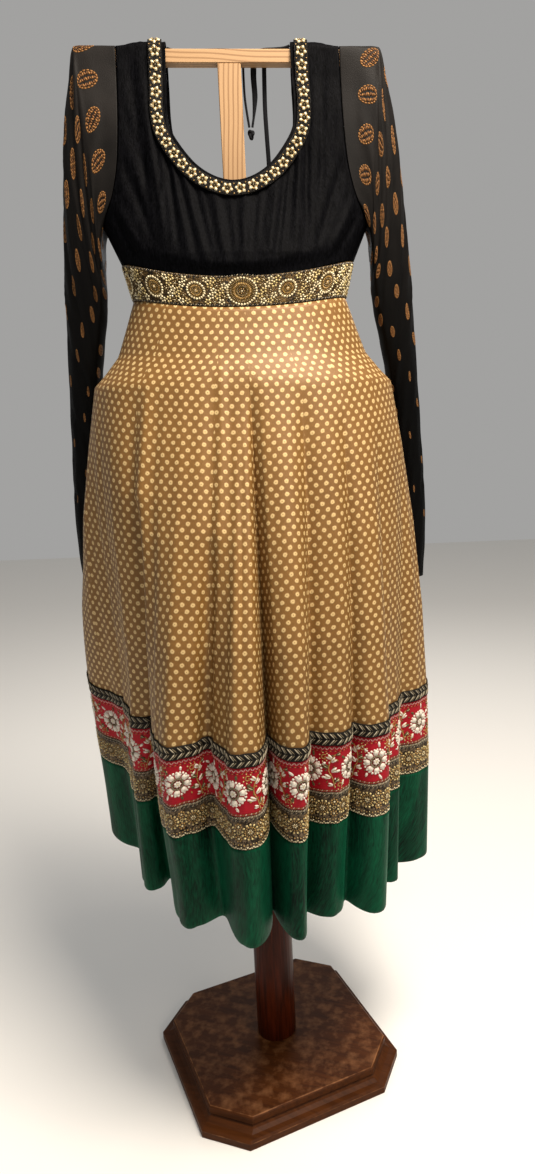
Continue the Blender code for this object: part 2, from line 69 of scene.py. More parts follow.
# Back ties: two rolled cords of the bodice's black crepe come off the neck edges, lie over the batten and
# hang behind it to one overhand knot. A third, flat strip hangs straight down behind the front neckline.
TIE_D = 0.0034
FLAT_TIE_WIDTH = 0.0086
TAIL_WIDTH = 0.0064
TIE_STEP = 0.004
BATTEN_CLEAR_Z = 1.644  # a tie lies flat up here, and turns upright behind the batten over BATTEN_TURN
BATTEN_TURN = 0.008
RIGHT_TIE = (
    (-0.0866, 0.0050, 1.6470),
    (-0.0790, 0.0045, 1.6444),
    (-0.0650, 0.0040, 1.6431),
    (-0.0350, 0.0015, 1.6431),
    (-0.0100, 0.0005, 1.6431),
    (0.0050, 0.0020, 1.6431),
    (0.0140, 0.0070, 1.6434),
    (0.0180, 0.0120, 1.6415),
    (0.0192, 0.0146, 1.6370),
    (0.0195, 0.0152, 1.6290),
    (0.0194, 0.0152, 1.6100),
    (0.0198, 0.0152, 1.5880),
    (0.0218, 0.0154, 1.5680),
    (0.0245, 0.0156, 1.5478),
)
LEFT_TIE = (
    (0.0866, -0.0035, 1.6470),
    (0.0790, -0.0035, 1.6444),
    (0.0650, -0.0035, 1.6431),
    (0.0520, -0.0020, 1.6431),
    (0.0430, 0.0025, 1.6431),
    (0.0380, 0.0080, 1.6434),
    (0.0358, 0.0125, 1.6415),
    (0.0350, 0.0147, 1.6370),
    (0.0345, 0.0152, 1.6290),
    (0.0338, 0.0152, 1.6120),
    (0.0346, 0.0152, 1.5880),
    (0.0322, 0.0154, 1.5650),
    (0.0290, 0.0156, 1.5478),
)
TAIL_TIE = (
    (0.0866, 0.0052, 1.6470),
    (0.0790, 0.0050, 1.6444),
    (0.0660, 0.0052, 1.6432),
    (0.0575, 0.0080, 1.6434),
    (0.0524, 0.0122, 1.6415),
    (0.0504, 0.0147, 1.6370),
    (0.0498, 0.0153, 1.6290),
    (0.0490, 0.0158, 1.6000),
    (0.0486, 0.0165, 1.5700),
    (0.0496, 0.0175, 1.5350),
    (0.0508, 0.0190, 1.5000),
    (0.0512, 0.0200, 1.4500),
)


def linear(hex_colour):
    """An sRGB hex colour as a linear RGBA."""
    parts = [int(hex_colour[i:i + 2], 16) / 255 for i in (1, 3, 5)]
    return (*(c / 12.92 if c <= 0.04045 else ((c + 0.055) / 1.055) ** 2.4 for c in parts), 1.0)


def add(tree, kind, inputs=None, **settings):
    """Adds a shader node. Each input takes a value, or another node or one of its outputs to link to."""
    made = tree.nodes.new("ShaderNode" + kind)
    for name, value in settings.items():
        setattr(made, name, value)
    for socket, value in (inputs or {}).items():
        if isinstance(value, bpy.types.Node):
            value = value.outputs[0]
        if isinstance(value, bpy.types.NodeSocket):
            tree.links.new(value, made.inputs[socket])
        else:
            made.inputs[socket].default_value = value
    return made


def start_material(name, **sockets):
    """A material, its node tree and its shader, with constant values set on the shader."""
    made = bpy.data.materials.new(name)
    made.use_nodes = True
    shader = made.node_tree.nodes["Principled BSDF"]
    for socket, value in sockets.items():
        shader.inputs[socket.replace("_", " ")].default_value = value
    return made, made.node_tree, shader


def rolled_crepe():
    """Crepe rolled and stitched into a cord: matt black, with the cloth's own fine slanting grain."""
    made, tree, shader = start_material("black_crepe_cord", Roughness=0.85, Specular_IOR_Level=0.1)
    where = add(tree, "TexCoord").outputs["Object"]
    grain = add(tree, "TexNoise", {"Vector": where, "Scale": 900.0, "Detail": 2.0})
    colour = add(tree, "Mix", {0: grain.outputs["Fac"], 6: linear("#08090b"), 7: linear("#1b1c20")},
                 data_type="RGBA").outputs[2]
    bump = add(tree, "Bump", {"Height": grain.outputs["Fac"], "Strength": 0.4, "Distance": 0.0006})
    tree.links.new(colour, shader.inputs["Base Color"])
    tree.links.new(bump.outputs[0], shader.inputs["Normal"])
    return made


def finished(name, data, finish, *replaced):
    """Links a piece, gives it its material and rides it on the stand."""
    piece = bpy.data.objects.new(name, data)
    if finish:
        data.materials.append(finish)
    bpy.context.scene.collection.objects.link(piece)
    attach(piece, "root")
    if replaced:
        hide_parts(*replaced)
    return piece


def along(points, places):
    """Points at fractional indices of a list, on a smooth curve through it."""
    points = np.asarray(points, float)
    last = len(points) - 1
    places = np.clip(np.asarray(places, float), 0, last)
    i = np.minimum(places.astype(int), last - 1)
    t = (places - i).reshape(-1, *[1] * (points.ndim - 1))
    before, start, end, after = (points[np.clip(i + k, 0, last)] for k in (-1, 0, 1, 2))
    return 0.5 * (2 * start + (end - before) * t + (2 * before - 5 * start + 4 * end - after) * t**2
                  + (3 * start - before - 3 * end + after) * t**3)


def even_route(points, step):
    """A smooth curve through points, as points a step apart."""
    fine = along(points, np.linspace(0, len(points) - 1, 400))
    run = np.concatenate([[0], np.cumsum(np.linalg.norm(np.diff(fine, axis=0), axis=1))])
    places = np.linspace(0, run[-1], round(run[-1] / step) + 1)
    return np.stack([np.interp(places, run, column) for column in fine.T], axis=1), run[-1]


def tie(name, points, widths, finish, replaced):
    """A tie along its route: widths says how wide it is at shares of the way down, and it is TIE_D thick."""
    route, length = even_route(points, TIE_STEP)
    around = 10  # faces round a tie
    bm = bmesh.new()
    bmesh.ops.create_grid(bm, x_segments=around, y_segments=len(route) - 1, size=0.5)
    for v in bm.verts:
        turn = 2 * math.pi * round((v.co.x + 0.5) * around) / around
        j = round((0.5 - v.co.y) * (len(route) - 1))
        share = j / (len(route) - 1)
        ahead = Vector(route[min(j + 1, len(route) - 1)] - route[max(j - 1, 0)]).normalized()
        over_batten = min(1.0, max(0.0, (BATTEN_CLEAR_Z - route[j][2]) / BATTEN_TURN))
        face = Vector((0, 0, 1)).lerp(Vector((0, 1, 0)), over_batten)
        flat = ahead.cross(face).normalized()
        out = flat.cross(ahead)
        width = np.interp(share, *zip(*widths))
        v.co = Vector(route[j]) + flat * math.cos(turn) * width / 2 + out * math.sin(turn) * TIE_D / 2
    bmesh.ops.remove_doubles(bm, verts=bm.verts, dist=1e-6)
    bmesh.ops.holes_fill(bm, edges=bm.edges, sides=0)
    bmesh.ops.recalc_face_normals(bm, faces=bm.faces)
    mesh = bpy.data.meshes.new(name)
    bm.to_mesh(mesh)
    bm.free()
    mesh.shade_smooth()
    mesh.set_sharp_from_angle(angle=math.radians(50))
    return finished(name, mesh, finish, replaced), route, length


def knot(name, node, tightness, finish):
    """An overhand knot pulled tight, as a closed loop of the cord that fills the node's box."""
    low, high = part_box(node)
    middle, reach = (low + high) / 2, (high - low) / 2 - Vector((TIE_D, TIE_D, TIE_D)) * tightness
    curve = bpy.data.curves.new(name, "CURVE")
    curve.dimensions = "3D"
    curve.bevel_depth = TIE_D * tightness
    curve.bevel_resolution = 2
    spline = curve.splines.new("POLY")
    turns = [2 * math.pi * k / 48 for k in range(48)]
    spline.points.add(len(turns) - 1)
    for point, t in zip(spline.points, turns):
        loop = (math.sin(t) + 2 * math.sin(2 * t), -2 * math.sin(3 * t), math.cos(t) - 2 * math.cos(2 * t))
        point.co = (*(m + r * c / 3 for m, r, c in zip(middle, reach, loop)), 1.0)
    spline.use_cyclic_u = True
    return finished(name, curve, finish, node)


crepe_cord = rolled_crepe()
tie_knot = knot("tie_knot", "dori_knot", 0.62, crepe_cord)
tail_knot = knot("tail_knot", "dori_tail_knot", 0.55, crepe_cord)
TIES = (
    ("tie_right", RIGHT_TIE, ((0, TIE_D), (1, TIE_D)), "dori_right", TIE_D, [tie_knot]),
    ("tie_left", LEFT_TIE, ((0, TIE_D), (0.35, TIE_D), (0.5, FLAT_TIE_WIDTH), (0.75, FLAT_TIE_WIDTH * 0.9),
                            (0.92, TIE_D), (1, TIE_D)), "dori_left", FLAT_TIE_WIDTH, []),
    ("tie_tail", TAIL_TIE, ((0, TIE_D), (0.2, TAIL_WIDTH), (0.9, TAIL_WIDTH), (1, TIE_D)), "dori_tail",
     TAIL_WIDTH, [tail_knot]),
)
for name, points, widths, node, width, ends in TIES:
    piece, route, length = tie(name, points, widths, crepe_cord, node)


# The stand: a flat pine post on a turned pole carries the batten that the shoulders lie over, and a lower
# batten with a bent pine hoop that holds the hips out. The pole stands in a stained two-step base.
GRAIN_MM = 3.4
WEAR_MM = 2.2
BASE_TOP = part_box("base_top")[1].z
PLINTH_SHOULDER = 0.013
WEAR_BELOW = 0.0008  # how far the middle of the worn line is below an edge


def planed_pine(name, grain_turn):
    """Pine, planed and left bare: pale honey wood with fine orange lines that run along each piece."""
    made, tree, shader = start_material(name, Roughness=0.55)
    where = add(tree, "TexCoord").outputs["Object"]
    turned = add(tree, "Mapping", {"Vector": where, "Rotation": grain_turn})
    long = add(tree, "Mapping", {"Vector": turned, "Scale": (0.05, 1.0, 1.0)})
    sway = add(tree, "TexNoise", {"Vector": turned, "Scale": 6.0, "Detail": 1.0})
    bent = add(tree, "VectorMath", {0: sway.outputs["Color"], "Scale": 0.008}, operation="SCALE")
    bent = add(tree, "VectorMath", {0: long, 1: bent}, operation="ADD")
    lines = add(tree, "TexWave", {"Vector": bent, "Scale": 0.31 / (GRAIN_MM / 1000), "Distortion": 0.4,
                                  "Detail": 1.0}, bands_direction="DIAGONAL")
    fine = add(tree, "Mapping", {"Vector": turned, "Scale": (25.0, 900.0, 900.0)})
    fibre = add(tree, "TexNoise", {"Vector": fine, "Scale": 1.0, "Detail": 3.0})
    ridge = add(tree, "MapRange", {"Value": lines.outputs["Fac"], "From Min": 0.62, "From Max": 1.0})
    colour = add(tree, "Mix", {0: ridge.outputs[0], 6: linear("#ae8d66"), 7: linear("#88663f")},
                 data_type="RGBA").outputs[2]
    tint = add(tree, "Mix", {0: fibre.outputs["Fac"], 6: linear("#c9a478"), 7: linear("#fff0d8")},
               data_type="RGBA").outputs[2]
    colour = add(tree, "Mix", {0: 0.35, 6: colour, 7: tint}, data_type="RGBA",
                 blend_type="MULTIPLY").outputs[2]
    bump = add(tree, "Bump", {"Height": fibre.outputs["Fac"], "Strength": 0.25, "Distance": 0.0004})
    tree.links.new(colour, shader.inputs["Base Color"])
    tree.links.new(bump.outputs[0], shader.inputs["Normal"])
    return made


def stained_wood(name, dark, light, grain_turn, gloss):
    """Hardwood under dark stain and varnish: red-brown in the grain, rubbed pale along its edges."""
    made, tree, shader = start_material(name, Roughness=gloss, Specular_IOR_Level=0.09)
    where = add(tree, "TexCoord").outputs["Object"]
    turned = add(tree, "Mapping", {"Vector": where, "Rotation": grain_turn})
    stretched = add(tree, "Mapping", {"Vector": turned, "Scale": (14.0, 160.0, 160.0)})
    grain = add(tree, "TexNoise", {"Vector": stretched, "Scale": 1.0, "Detail": 6.0, "Distortion": 0.6})
    share = add(tree, "MapRange", {"Value": grain.outputs["Fac"], "From Min": 0.35, "From Max": 0.70})
    colour = add(tree, "Mix", {0: share.outputs[0], 6: linear(dark), 7: linear(light)},
                 data_type="RGBA").outputs[2]
    height = add(tree, "SeparateXYZ", {0: where}).outputs["Z"]
    rubbing = add(tree, "TexNoise", {"Vector": where, "Scale": 60.0, "Detail": 4.0})
    for edge in (BASE_TOP, PLINTH_SHOULDER):
        away = add(tree, "Math", {0: height, 1: edge - WEAR_BELOW}, operation="SUBTRACT")
        away = add(tree, "Math", {0: away}, operation="ABSOLUTE")
        near = add(tree, "MapRange", {"Value": away, "From Min": WEAR_MM / 1000, "From Max": 0.0})
        worn = add(tree, "Math", {0: near, 1: rubbing.outputs["Fac"]}, operation="MULTIPLY")
        worn = add(tree, "MapRange", {"Value": worn, "From Min": 0.28, "From Max": 0.62, "To Max": 0.55})
        colour = add(tree, "Mix", {0: worn.outputs[0], 6: colour, 7: linear("#a4714a")},
                     data_type="RGBA").outputs[2]
    bump = add(tree, "Bump", {"Height": grain.outputs["Fac"], "Strength": 0.15, "Distance": 0.0004})
    tree.links.new(colour, shader.inputs["Base Color"])
    tree.links.new(bump.outputs[0], shader.inputs["Normal"])
    return made


lengthwise_pine = planed_pine("planed_pine_along", (0.0, 0.0, 0.0))
upright_pine = planed_pine("planed_pine_upright", (0.0, math.pi / 2, 0.0))
stained_base = stained_wood("stained_base_wood", "#371a05", "#48250b", (0.0, 0.0, 0.38), 0.5)
stained_pole = stained_wood("stained_pole_wood", "#260a02", "#441705", (0.0, math.pi / 2, 0.0), 0.32)
STAND_FINISHES = {
    "shoulder_bar": lengthwise_pine,
    "hip_bar": lengthwise_pine,
    "hip_hoop": lengthwise_pine,
    "post": upright_pine,
    "base_plinth": stained_base,
    "base_top": stained_base,
    "pole": stained_pole,
}
for node, wood in STAND_FINISHES.items():
    for own_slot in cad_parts[node].material_slots:
        own_slot.material = wood


# Bodice: a front and a back of crushed black crepe, eased into the waistband so that it falls in long
# creases from the neck and the armholes. The shoulders lie over the batten in one soft fold.
FOLD_Z = 1.6395
FOLD_LENGTH = 0.018
SHOULDER = FOLD_Z + FOLD_LENGTH
FOLD_DEPTH = 0.0118
RIDGE_AT_NECK = 0.0125
RIDGE_AT_ARM = 0.0070
NECK_HALF = 0.0875
ARM_HALF = 0.156
WAIST_Z = 1.355
SEAM = 0.0003
SIDE_SEAM = 0.0002
OUTLINE_POWER = 2.2
BODICE_WALL = 0.0013
# height, half_width, front and back depth
BODICE = (
    (FOLD_Z, 0.230, 0.000, 0.000),
    (1.600, 0.225, 0.006, 0.005),
    (1.540, 0.213, 0.023, 0.016),
    (1.480, 0.203, 0.046, 0.034),
    (1.410, 0.195, 0.077, 0.056),
    (WAIST_Z, 0.171, 0.104, 0.080),
    (1.300, 0.160, 0.116, 0.088),
)
# The armhole from the shoulder to the armpit, and the neckline from the shoulder to the middle: out, height
ARMHOLE = (
    (ARM_HALF, SHOULDER),
    (ARM_HALF, 1.6475),
    (ARM_HALF, 1.6370),
    (0.1562, 1.600),
    (0.1575, 1.545),
    (0.1615, 1.492),
    (0.1690, 1.455),
    (0.1800, 1.427),
    (0.1950, 1.410),
)
NECKLINE = (
    (NECK_HALF, SHOULDER),
    (NECK_HALF, 1.6475),
    (NECK_HALF, 1.6370),
    (0.0880, 1.597),
    (0.0888, 1.560),
    (0.0855, 1.532),
    (0.0725, 1.507),
    (0.0510, 1.480),
    (0.0260, 1.463),
    (0.0000, 1.457),
)
SIDE_ROWS = 3
SHOULDER_COLUMNS = 2
WAIST_HALF_WIDTH = 0.171
WAIST_SAG = {-1: 0.032, 1: 0.012}
WAIST_TUCK = {-1: 0.0088, 1: 0.0032}  # how far the foot goes in behind the waistband
BODICE_FINENESS = 7
CREASE_STRENGTH = 1.4
# Creases in mm: from x, height, to x, height, half-width, depth. Below nothing they stand out.
BODICE_CREASES = (
    (-140, 1636, -118, 1400, 5.0, 2.6),
    (-128, 1640, -96, 1352, 4.0, -1.8),
    (-112, 1632, -104, 1470, 3.5, 1.8),
    (-104, 1600, -76, 1334, 4.5, 2.6),
    (-96, 1560, -62, 1330, 3.5, -1.6),
    (-92, 1530, -48, 1326, 4.0, 2.2),
    (-78, 1500, -36, 1322, 3.0, -1.5),
    (-62, 1484, -27, 1322, 4.0, 2.4),
    (-46, 1470, -18, 1322, 3.0, 1.6),
    (-30, 1458, -12, 1322, 3.5, -1.6),
    (-14, 1452, -4, 1322, 3.5, 2.2),
    (2, 1448, 4, 1330, 3.0, 1.5),
    (16, 1452, 8, 1322, 3.5, -1.7),
    (33, 1458, 18, 1322, 3.8, 2.4),
    (50, 1472, 26, 1324, 3.0, 1.5),
    (66, 1488, 40, 1322, 4.0, -1.8),
    (80, 1506, 52, 1326, 4.0, 2.5),
    (93, 1546, 66, 1330, 3.6, 1.8),
    (102, 1590, 80, 1334, 4.2, -1.8),
    (114, 1636, 96, 1350, 4.4, 2.5),
    (134, 1640, 120, 1396, 4.8, 2.2),
    (-158, 1500, -112, 1366, 6.0, 3.2),
    (-170, 1440, -124, 1350, 5.0, -2.2),
    (-178, 1424, -140, 1352, 4.5, 2.4),
    (-150, 1560, -120, 1452, 5.5, 2.2),
    (160, 1498, 114, 1364, 6.0, 3.0),
    (172, 1438, 128, 1352, 5.0, -2.2),
    (180, 1420, 142, 1352, 4.5, 2.2),
    (150, 1556, 122, 1450, 5.5, 2.0),
)


def smoothstep(t):
    t = np.clip(t, 0.0, 1.0)
    return t * t * (3 - 2 * t)


def at_height(table, height):
    """A table's columns at heights, straight between its rows. The first column is the height, falling."""
    table = np.array(table)
    return [np.interp(-height, -table[:, 0], table[:, k]) for k in range(1, table.shape[1])]


def bodice_points(x, height, side):
    """The bodice's outer face: side is -1 in front and 1 behind. Heights above the fold count along it."""
    turn = np.clip((height - FOLD_Z) / FOLD_LENGTH, 0, 1) * math.pi / 2
    near_arm = smoothstep((abs(x) - NECK_HALF - 0.035) / (ARM_HALF - NECK_HALF - 0.035))
    ridge = RIDGE_AT_NECK + (RIDGE_AT_ARM - RIDGE_AT_NECK) * near_arm
    half_width, front, back = at_height(BODICE, height)
    share = np.minimum(1.0, abs(x) / half_width)
    bulge = (1 - share**OUTLINE_POWER) ** (1 / OUTLINE_POWER) * (front if side < 0 else back)
    off_bar = FOLD_DEPTH * smoothstep((height - 1.41) / (1.56 - 1.41))
    folded = height > FOLD_Z
    y = np.where(folded, FOLD_DEPTH * np.cos(turn), off_bar + bulge)
    z = np.where(folded, FOLD_Z + ridge * np.sin(turn), height)
    return np.stack([x, side * (y + SIDE_SEAM), z], axis=-1)


def bodice_net(side):
    """A bodice panel's net of (x, height): its four edges fix the places between them."""
    step = (ARM_HALF - NECK_HALF) / SHOULDER_COLUMNS
    shoulder = [(-ARM_HALF + step * k, SHOULDER) for k in range(SHOULDER_COLUMNS)]
    half = shoulder + [(-x, z) for x, z in NECKLINE]
    top = np.array(half + [(-x, z) for x, z in reversed(half[:-1])])
    bearing = np.linspace(0, math.pi, len(top))
    across = np.cos(bearing)
    foot_z = WAIST_Z + 2 * SEAM
    foot = np.stack([-WAIST_HALF_WIDTH * np.copysign(abs(across) ** (2 / OUTLINE_POWER), across),
                     foot_z - WAIST_SAG[side] * np.sin(bearing) ** 2], axis=1)
    armpit = np.array(ARMHOLE[-1])
    waist = np.array([WAIST_HALF_WIDTH, foot_z])
    edge = np.array([*ARMHOLE, *(armpit + (waist - armpit) * k / SIDE_ROWS for k in range(1, SIDE_ROWS + 1))])
    run = np.concatenate([[0], np.cumsum(np.linalg.norm(np.diff(edge, axis=0), axis=1))])
    u, v = np.linspace(0, 1, len(top))[None, :, None], (run / run[-1])[:, None, None]
    left, right = edge[:, None] * (-1, 1), edge[:, None]
    ruled = (1 - v) * top + v * foot + (1 - u) * left + u * right
    return ruled - (1 - v) * ((1 - u) * top[0] + u * top[-1]) - v * ((1 - u) * foot[0] + u * foot[-1])


def finer(net, corners, count):
    """A net with count smooth steps for each of its own down the rows, sharp at the corner rows."""
    parts = []
    for start, end in zip(corners, corners[1:]):
        steps = np.linspace(0, end - start, (end - start) * count + 1)
        made = along(net[start:end + 1], steps)
        parts.append(made if end == corners[-1] else made[:-1])
    return np.concatenate(parts)


def normals(points):
    """The outward normals of rows of points that run down a cloth, with its columns from left to right."""
    out = np.cross(np.gradient(points, axis=1), -np.gradient(points, axis=0))
    return out / np.maximum(np.linalg.norm(out, axis=-1, keepdims=True), 1e-12)


def crease_depths(across, down, creases):
    """How deep creases, given in mm, lie at each point of a cloth."""
    total = np.zeros(np.broadcast(across, down).shape)
    for start_across, start_down, end_across, end_down, half_width, depth in np.array(creases) / 1000:
        length = math.hypot(end_across - start_across, end_down - start_down)
        run_across, run_down = (end_across - start_across) / length, (end_down - start_down) / length
        a, d = across - start_across, down - start_down
        share = np.clip((a * run_across + d * run_down) / length, 0, 1)
        aside = a * run_down - d * run_across
        total += depth * np.exp(-(aside / half_width) ** 2) * np.sin(math.pi * share) ** 0.7
    return total


def ruffled(across, down, across_mm, down_mm, seed):
    """Smooth noise from -1 to 1 over a cloth, its humps across_mm by down_mm."""
    places = zip((across * 1000 / across_mm).ravel(), (down * 1000 / down_mm).ravel())
    return np.array([noise.noise((a, d, seed)) for a, d in places]).reshape(across.shape)


def runs(points):
    """How far along its row and how far down its column each point lies."""
    across, down = (np.linalg.norm(np.diff(points, axis=k), axis=-1) for k in (1, 0))
    return (np.pad(np.cumsum(across, axis=1), ((0, 0), (1, 0))),
            np.pad(np.cumsum(down, axis=0), ((1, 0), (0, 0))))


def shell(name, points, wall, finish, *replaced, out=-1.0, u_sides=None):
    """A cloth's shell on rows of points. Its UV map is in metres: u across, v up from the top edge.
    u_sides gives u at the left and right of each column of faces, where the pattern isn't continuous."""
    rows, columns = points.shape[:2]
    across, down = runs(points)
    left, right = u_sides or (across[:, :-1], across[:, 1:])
    bm = bmesh.new()
    bmesh.ops.create_grid(bm, x_segments=columns - 1, y_segments=rows - 1, size=0.5)
    bm.verts.index_update()
    places = [(round((0.5 - v.co.y) * (rows - 1)), round((v.co.x + 0.5) * (columns - 1))) for v in bm.verts]
    uv = bm.loops.layers.uv.new("cloth")
    for face in bm.faces:
        column = min(places[v.index][1] for v in face.verts)
        for loop in face.loops:
            j, i = places[loop.vert.index]
            loop[uv].uv = ((left if i == column else right)[j, column], -down[j, i])
    for v, place in zip(bm.verts, places):
        v.co = points[place]
    bmesh.ops.remove_doubles(bm, verts=bm.verts, dist=1e-5)
    mesh = bpy.data.meshes.new(name)
    bm.to_mesh(mesh)
    bm.free()
    mesh.shade_smooth()
    piece = finished(name, mesh, finish, *replaced)
    thickness = piece.modifiers.new("wall", "SOLIDIFY")
    thickness.thickness = wall
    thickness.offset = out
    thickness.use_even_offset = False
    return piece


def crushed_crepe():
    """Polyester crepe, crushed and steam-set: soft black, with a dull shine painted lighter onto each tiny
    upright crinkle as painted highlight.
    """
    made, tree, shader = start_material("crushed_black_crepe", Roughness=0.6, Specular_IOR_Level=0.02)
    where = add(tree, "TexCoord").outputs["Object"]
    upright = add(tree, "Mapping", {"Vector": where, "Scale": (520.0, 520.0, 70.0)})
    crinkle = add(tree, "TexNoise", {"Vector": upright, "Scale": 1.0, "Detail": 4.0, "Distortion": 1.2})
    broad = add(tree, "TexNoise", {"Vector": where, "Scale": 45.0, "Detail": 3.0})
    # painted highlight and shade: each crinkle's raised top is painted lighter, and its hollow darker
    share = add(tree, "MapRange", {"Value": crinkle.outputs["Fac"], "From Min": 0.38, "From Max": 0.72})
    colour = add(tree, "Mix", {0: share.outputs[0], 6: linear("#020203"), 7: linear("#0e0e11")},
                 data_type="RGBA").outputs[2]
    tint = add(tree, "Mix", {0: broad.outputs["Fac"], 6: linear("#30323a"), 7: linear("#ffffff")},
               data_type="RGBA").outputs[2]
    colour = add(tree, "Mix", {0: 0.5, 6: colour, 7: tint}, data_type="RGBA",
                 blend_type="MULTIPLY").outputs[2]
    bump = add(tree, "Bump", {"Height": crinkle.outputs["Fac"], "Strength": 0.6, "Distance": 0.0009})
    tree.links.new(colour, shader.inputs["Base Color"])
    tree.links.new(bump.outputs[0], shader.inputs["Normal"])
    return made


FLAT_EDGE = 5  # points in from a panel's edge over which its creases come up to full depth
TUCK_ROWS = 18  # rows above the waist over which the panel is drawn in
SLEEVE_HEAD_ROWS = 14  # rows below the armhole seam over which a sleeve's creases come up to full depth
crepe = crushed_crepe()
neck_corner = SHOULDER_COLUMNS
bodice_cloth = {}
for word, side in (("front", -1), ("back", 1)):
    net = bodice_net(side)
    last_column, last_row = net.shape[1] - 1, net.shape[0] - 1
    net = finer(net, (0, len(ARMHOLE) - 1, last_row), BODICE_FINENESS)
    net = finer(net.swapaxes(0, 1), (0, neck_corner, last_column - neck_corner, last_column), BODICE_FINENESS)
    net = net.swapaxes(0, 1)
    x, height = net[..., 0], net[..., 1]
    points = bodice_points(x, height, side)
    creases = BODICE_CREASES if side < 0 else [(-a, b, -c, d, *rest) for a, b, c, d, *rest in BODICE_CREASES]
    rows, columns = np.arange(len(net))[:, None], np.arange(net.shape[1])[None, :]
    inside = smoothstep(np.minimum(rows, len(net) - 1 - rows) / FLAT_EDGE)
    inside = inside * smoothstep(np.minimum(columns, net.shape[1] - 1 - columns) / FLAT_EDGE)
    sunk = CREASE_STRENGTH * crease_depths(x, height, creases)
    sunk += 0.0009 * ruffled(x, height, 7, 42, 3.0)
    sunk += 0.0006 * ruffled(x, height, 3.5, 18, 9.0)
    tucked_in = smoothstep((rows - len(net) + TUCK_ROWS) / (TUCK_ROWS - 1))
    tucked_in = tucked_in * np.sin(math.pi * columns / (net.shape[1] - 1)) ** 2
    outward = normals(points) * side * -1
    points = points - outward * (sunk * inside + WAIST_TUCK[side] * tucked_in)[..., None]
    if side > 0:
        points = points[:, ::-1]
    bodice_cloth[word] = points
    panel = shell("bodice_" + word + "_cloth", points, BODICE_WALL, crepe, "bodice_" + word)


# Neck trim: a strip of bead flowers, sewn on just inside the neckline, round the front and up over the
# shoulders. Each flower has five petals of cream beads, veined with bronze, round a dark gilt one.
NECK_TRIM_INSET = 0.005
NECK_TRIM_WIDTH = 0.019
NECK_TRIM_WALL = 0.0018
NECK_TRIM_RISE = 0.0032
FLOWER_PITCH = 18.6
THREADS = {
    "white": "#f2ece0",
    "cream": "#efe4bd",
    "pale gold": "#d9c68b",
    "gold": "#b3904e",
    "bronze": "#76602f",
    "brown": "#4a3420",
    "olive": "#5e5433",
    "grey": "#b5ad98",
    "taupe": "#857a62",
    "dark": "#15110d",
    "pink": "#d9a29c",
    "sprig light": "#8f6538",
    "sprig mid": "#7a5330",
    "sprig dark": "#5e3f22",
}


def cloth_of(points):
    """What is needed to sew on a cloth: its points, normals, and the runs across its middle and down it."""
    across, down = runs(points)
    middle = len(points) // 2
    return {"points": points, "normals": normals(points), "across": across[middle], "down": down.mean(axis=1),
            "narrowing": across[middle, -1] / across[:, -1]}


def on_cloth(cloth, across, down, rise):
    """Points that stand off a cloth by rise, at places across and down it, in metres."""
    rows, columns = cloth["points"].shape[:2]
    i = np.interp(across, cloth["across"], np.arange(columns))
    j = np.interp(down, cloth["down"], np.arange(rows))
    i0, j0 = np.minimum(i.astype(int), columns - 2), np.minimum(j.astype(int), rows - 2)
    right, below = (i - i0)[:, None], (j - j0)[:, None]

    def between(values):
        return ((values[j0, i0] * (1 - right) + values[j0, i0 + 1] * right) * (1 - below)
                + (values[j0 + 1, i0] * (1 - right) + values[j0 + 1, i0 + 1] * right) * below)

    return between(cloth["points"]) + between(cloth["normals"]) * rise[:, None]


def sewn(name, cloth, stitches, finish):
    """Joins copies of one small rounded stitch, laid over a cloth. Each stitch, in mm, is (across, up from
    the cloth's foot, turn, length, width, thickness, thread)."""
    bm = bmesh.new()
    bmesh.ops.create_icosphere(bm, subdivisions=1, radius=0.5)
    round_stitch = np.array([v.co[:] for v in bm.verts])
    faces = np.array([[v.index for v in face.verts] for face in bm.faces])
    bm.free()
    width = cloth["across"][-1] * 1000
    stitches = [s for s in stitches if 0.3 * s[3] < s[0] < width - 0.3 * s[3]]
    sizes = np.array([s[:6] for s in stitches])
    across, up, turn, *half = (sizes[:, k][:, None] for k in range(6))
    x, y, z = (round_stitch[:, k][None, :] * half[k] for k in range(3))
    down = cloth["down"][-1] * 1000 - up
    here = np.interp(down / 1000, cloth["down"], cloth["narrowing"])
    places = on_cloth(cloth, ((across + (x * np.cos(turn) - y * np.sin(turn)) * here) / 1000).ravel(),
                      ((down - x * np.sin(turn) - y * np.cos(turn)) / 1000).ravel(), (z / 1000).ravel())
    every_face = (faces[None] + len(round_stitch) * np.arange(len(stitches))[:, None, None]).reshape(-1, 3)
    mesh = bpy.data.meshes.new(name)
    mesh.from_pydata(places.tolist(), [], every_face.tolist())
    colours = {thread: linear(colour) for thread, colour in THREADS.items()}
    tints = np.repeat(np.array([colours[s[6]] for s in stitches]), len(round_stitch), axis=0)
    mesh.color_attributes.new("thread", "FLOAT_COLOR", "POINT").data.foreach_set("color", tints.ravel())
    mesh.shade_smooth()
    return finished(name, mesh, finish)


def ring(count, radius, length, width, thickness, thread, along_it=False, start=0.0):
    """Stitches round a circle, which point out from its middle or lie along it."""
    made = []
    for k in range(count):
        turn = 2 * math.pi * (k + start) / count
        across, up = radius * math.cos(turn), radius * math.sin(turn)
        own_turn = turn + math.pi / 2 if along_it else turn
        made.append((across, up, own_turn, length, width, thickness, thread))
    return made


def moved(motif, across, up, turn=0.0, size=1.0):
    """A motif, scaled, turned and put at a place."""
    made = []
    for x, y, own_turn, length, width, thickness, thread in motif:
        made.append((across + size * (x * math.cos(turn) - y * math.sin(turn)),
                     up + size * (x * math.sin(turn) + y * math.cos(turn)), own_turn + turn,
                     size * length, size * width, thickness, thread))
    return made


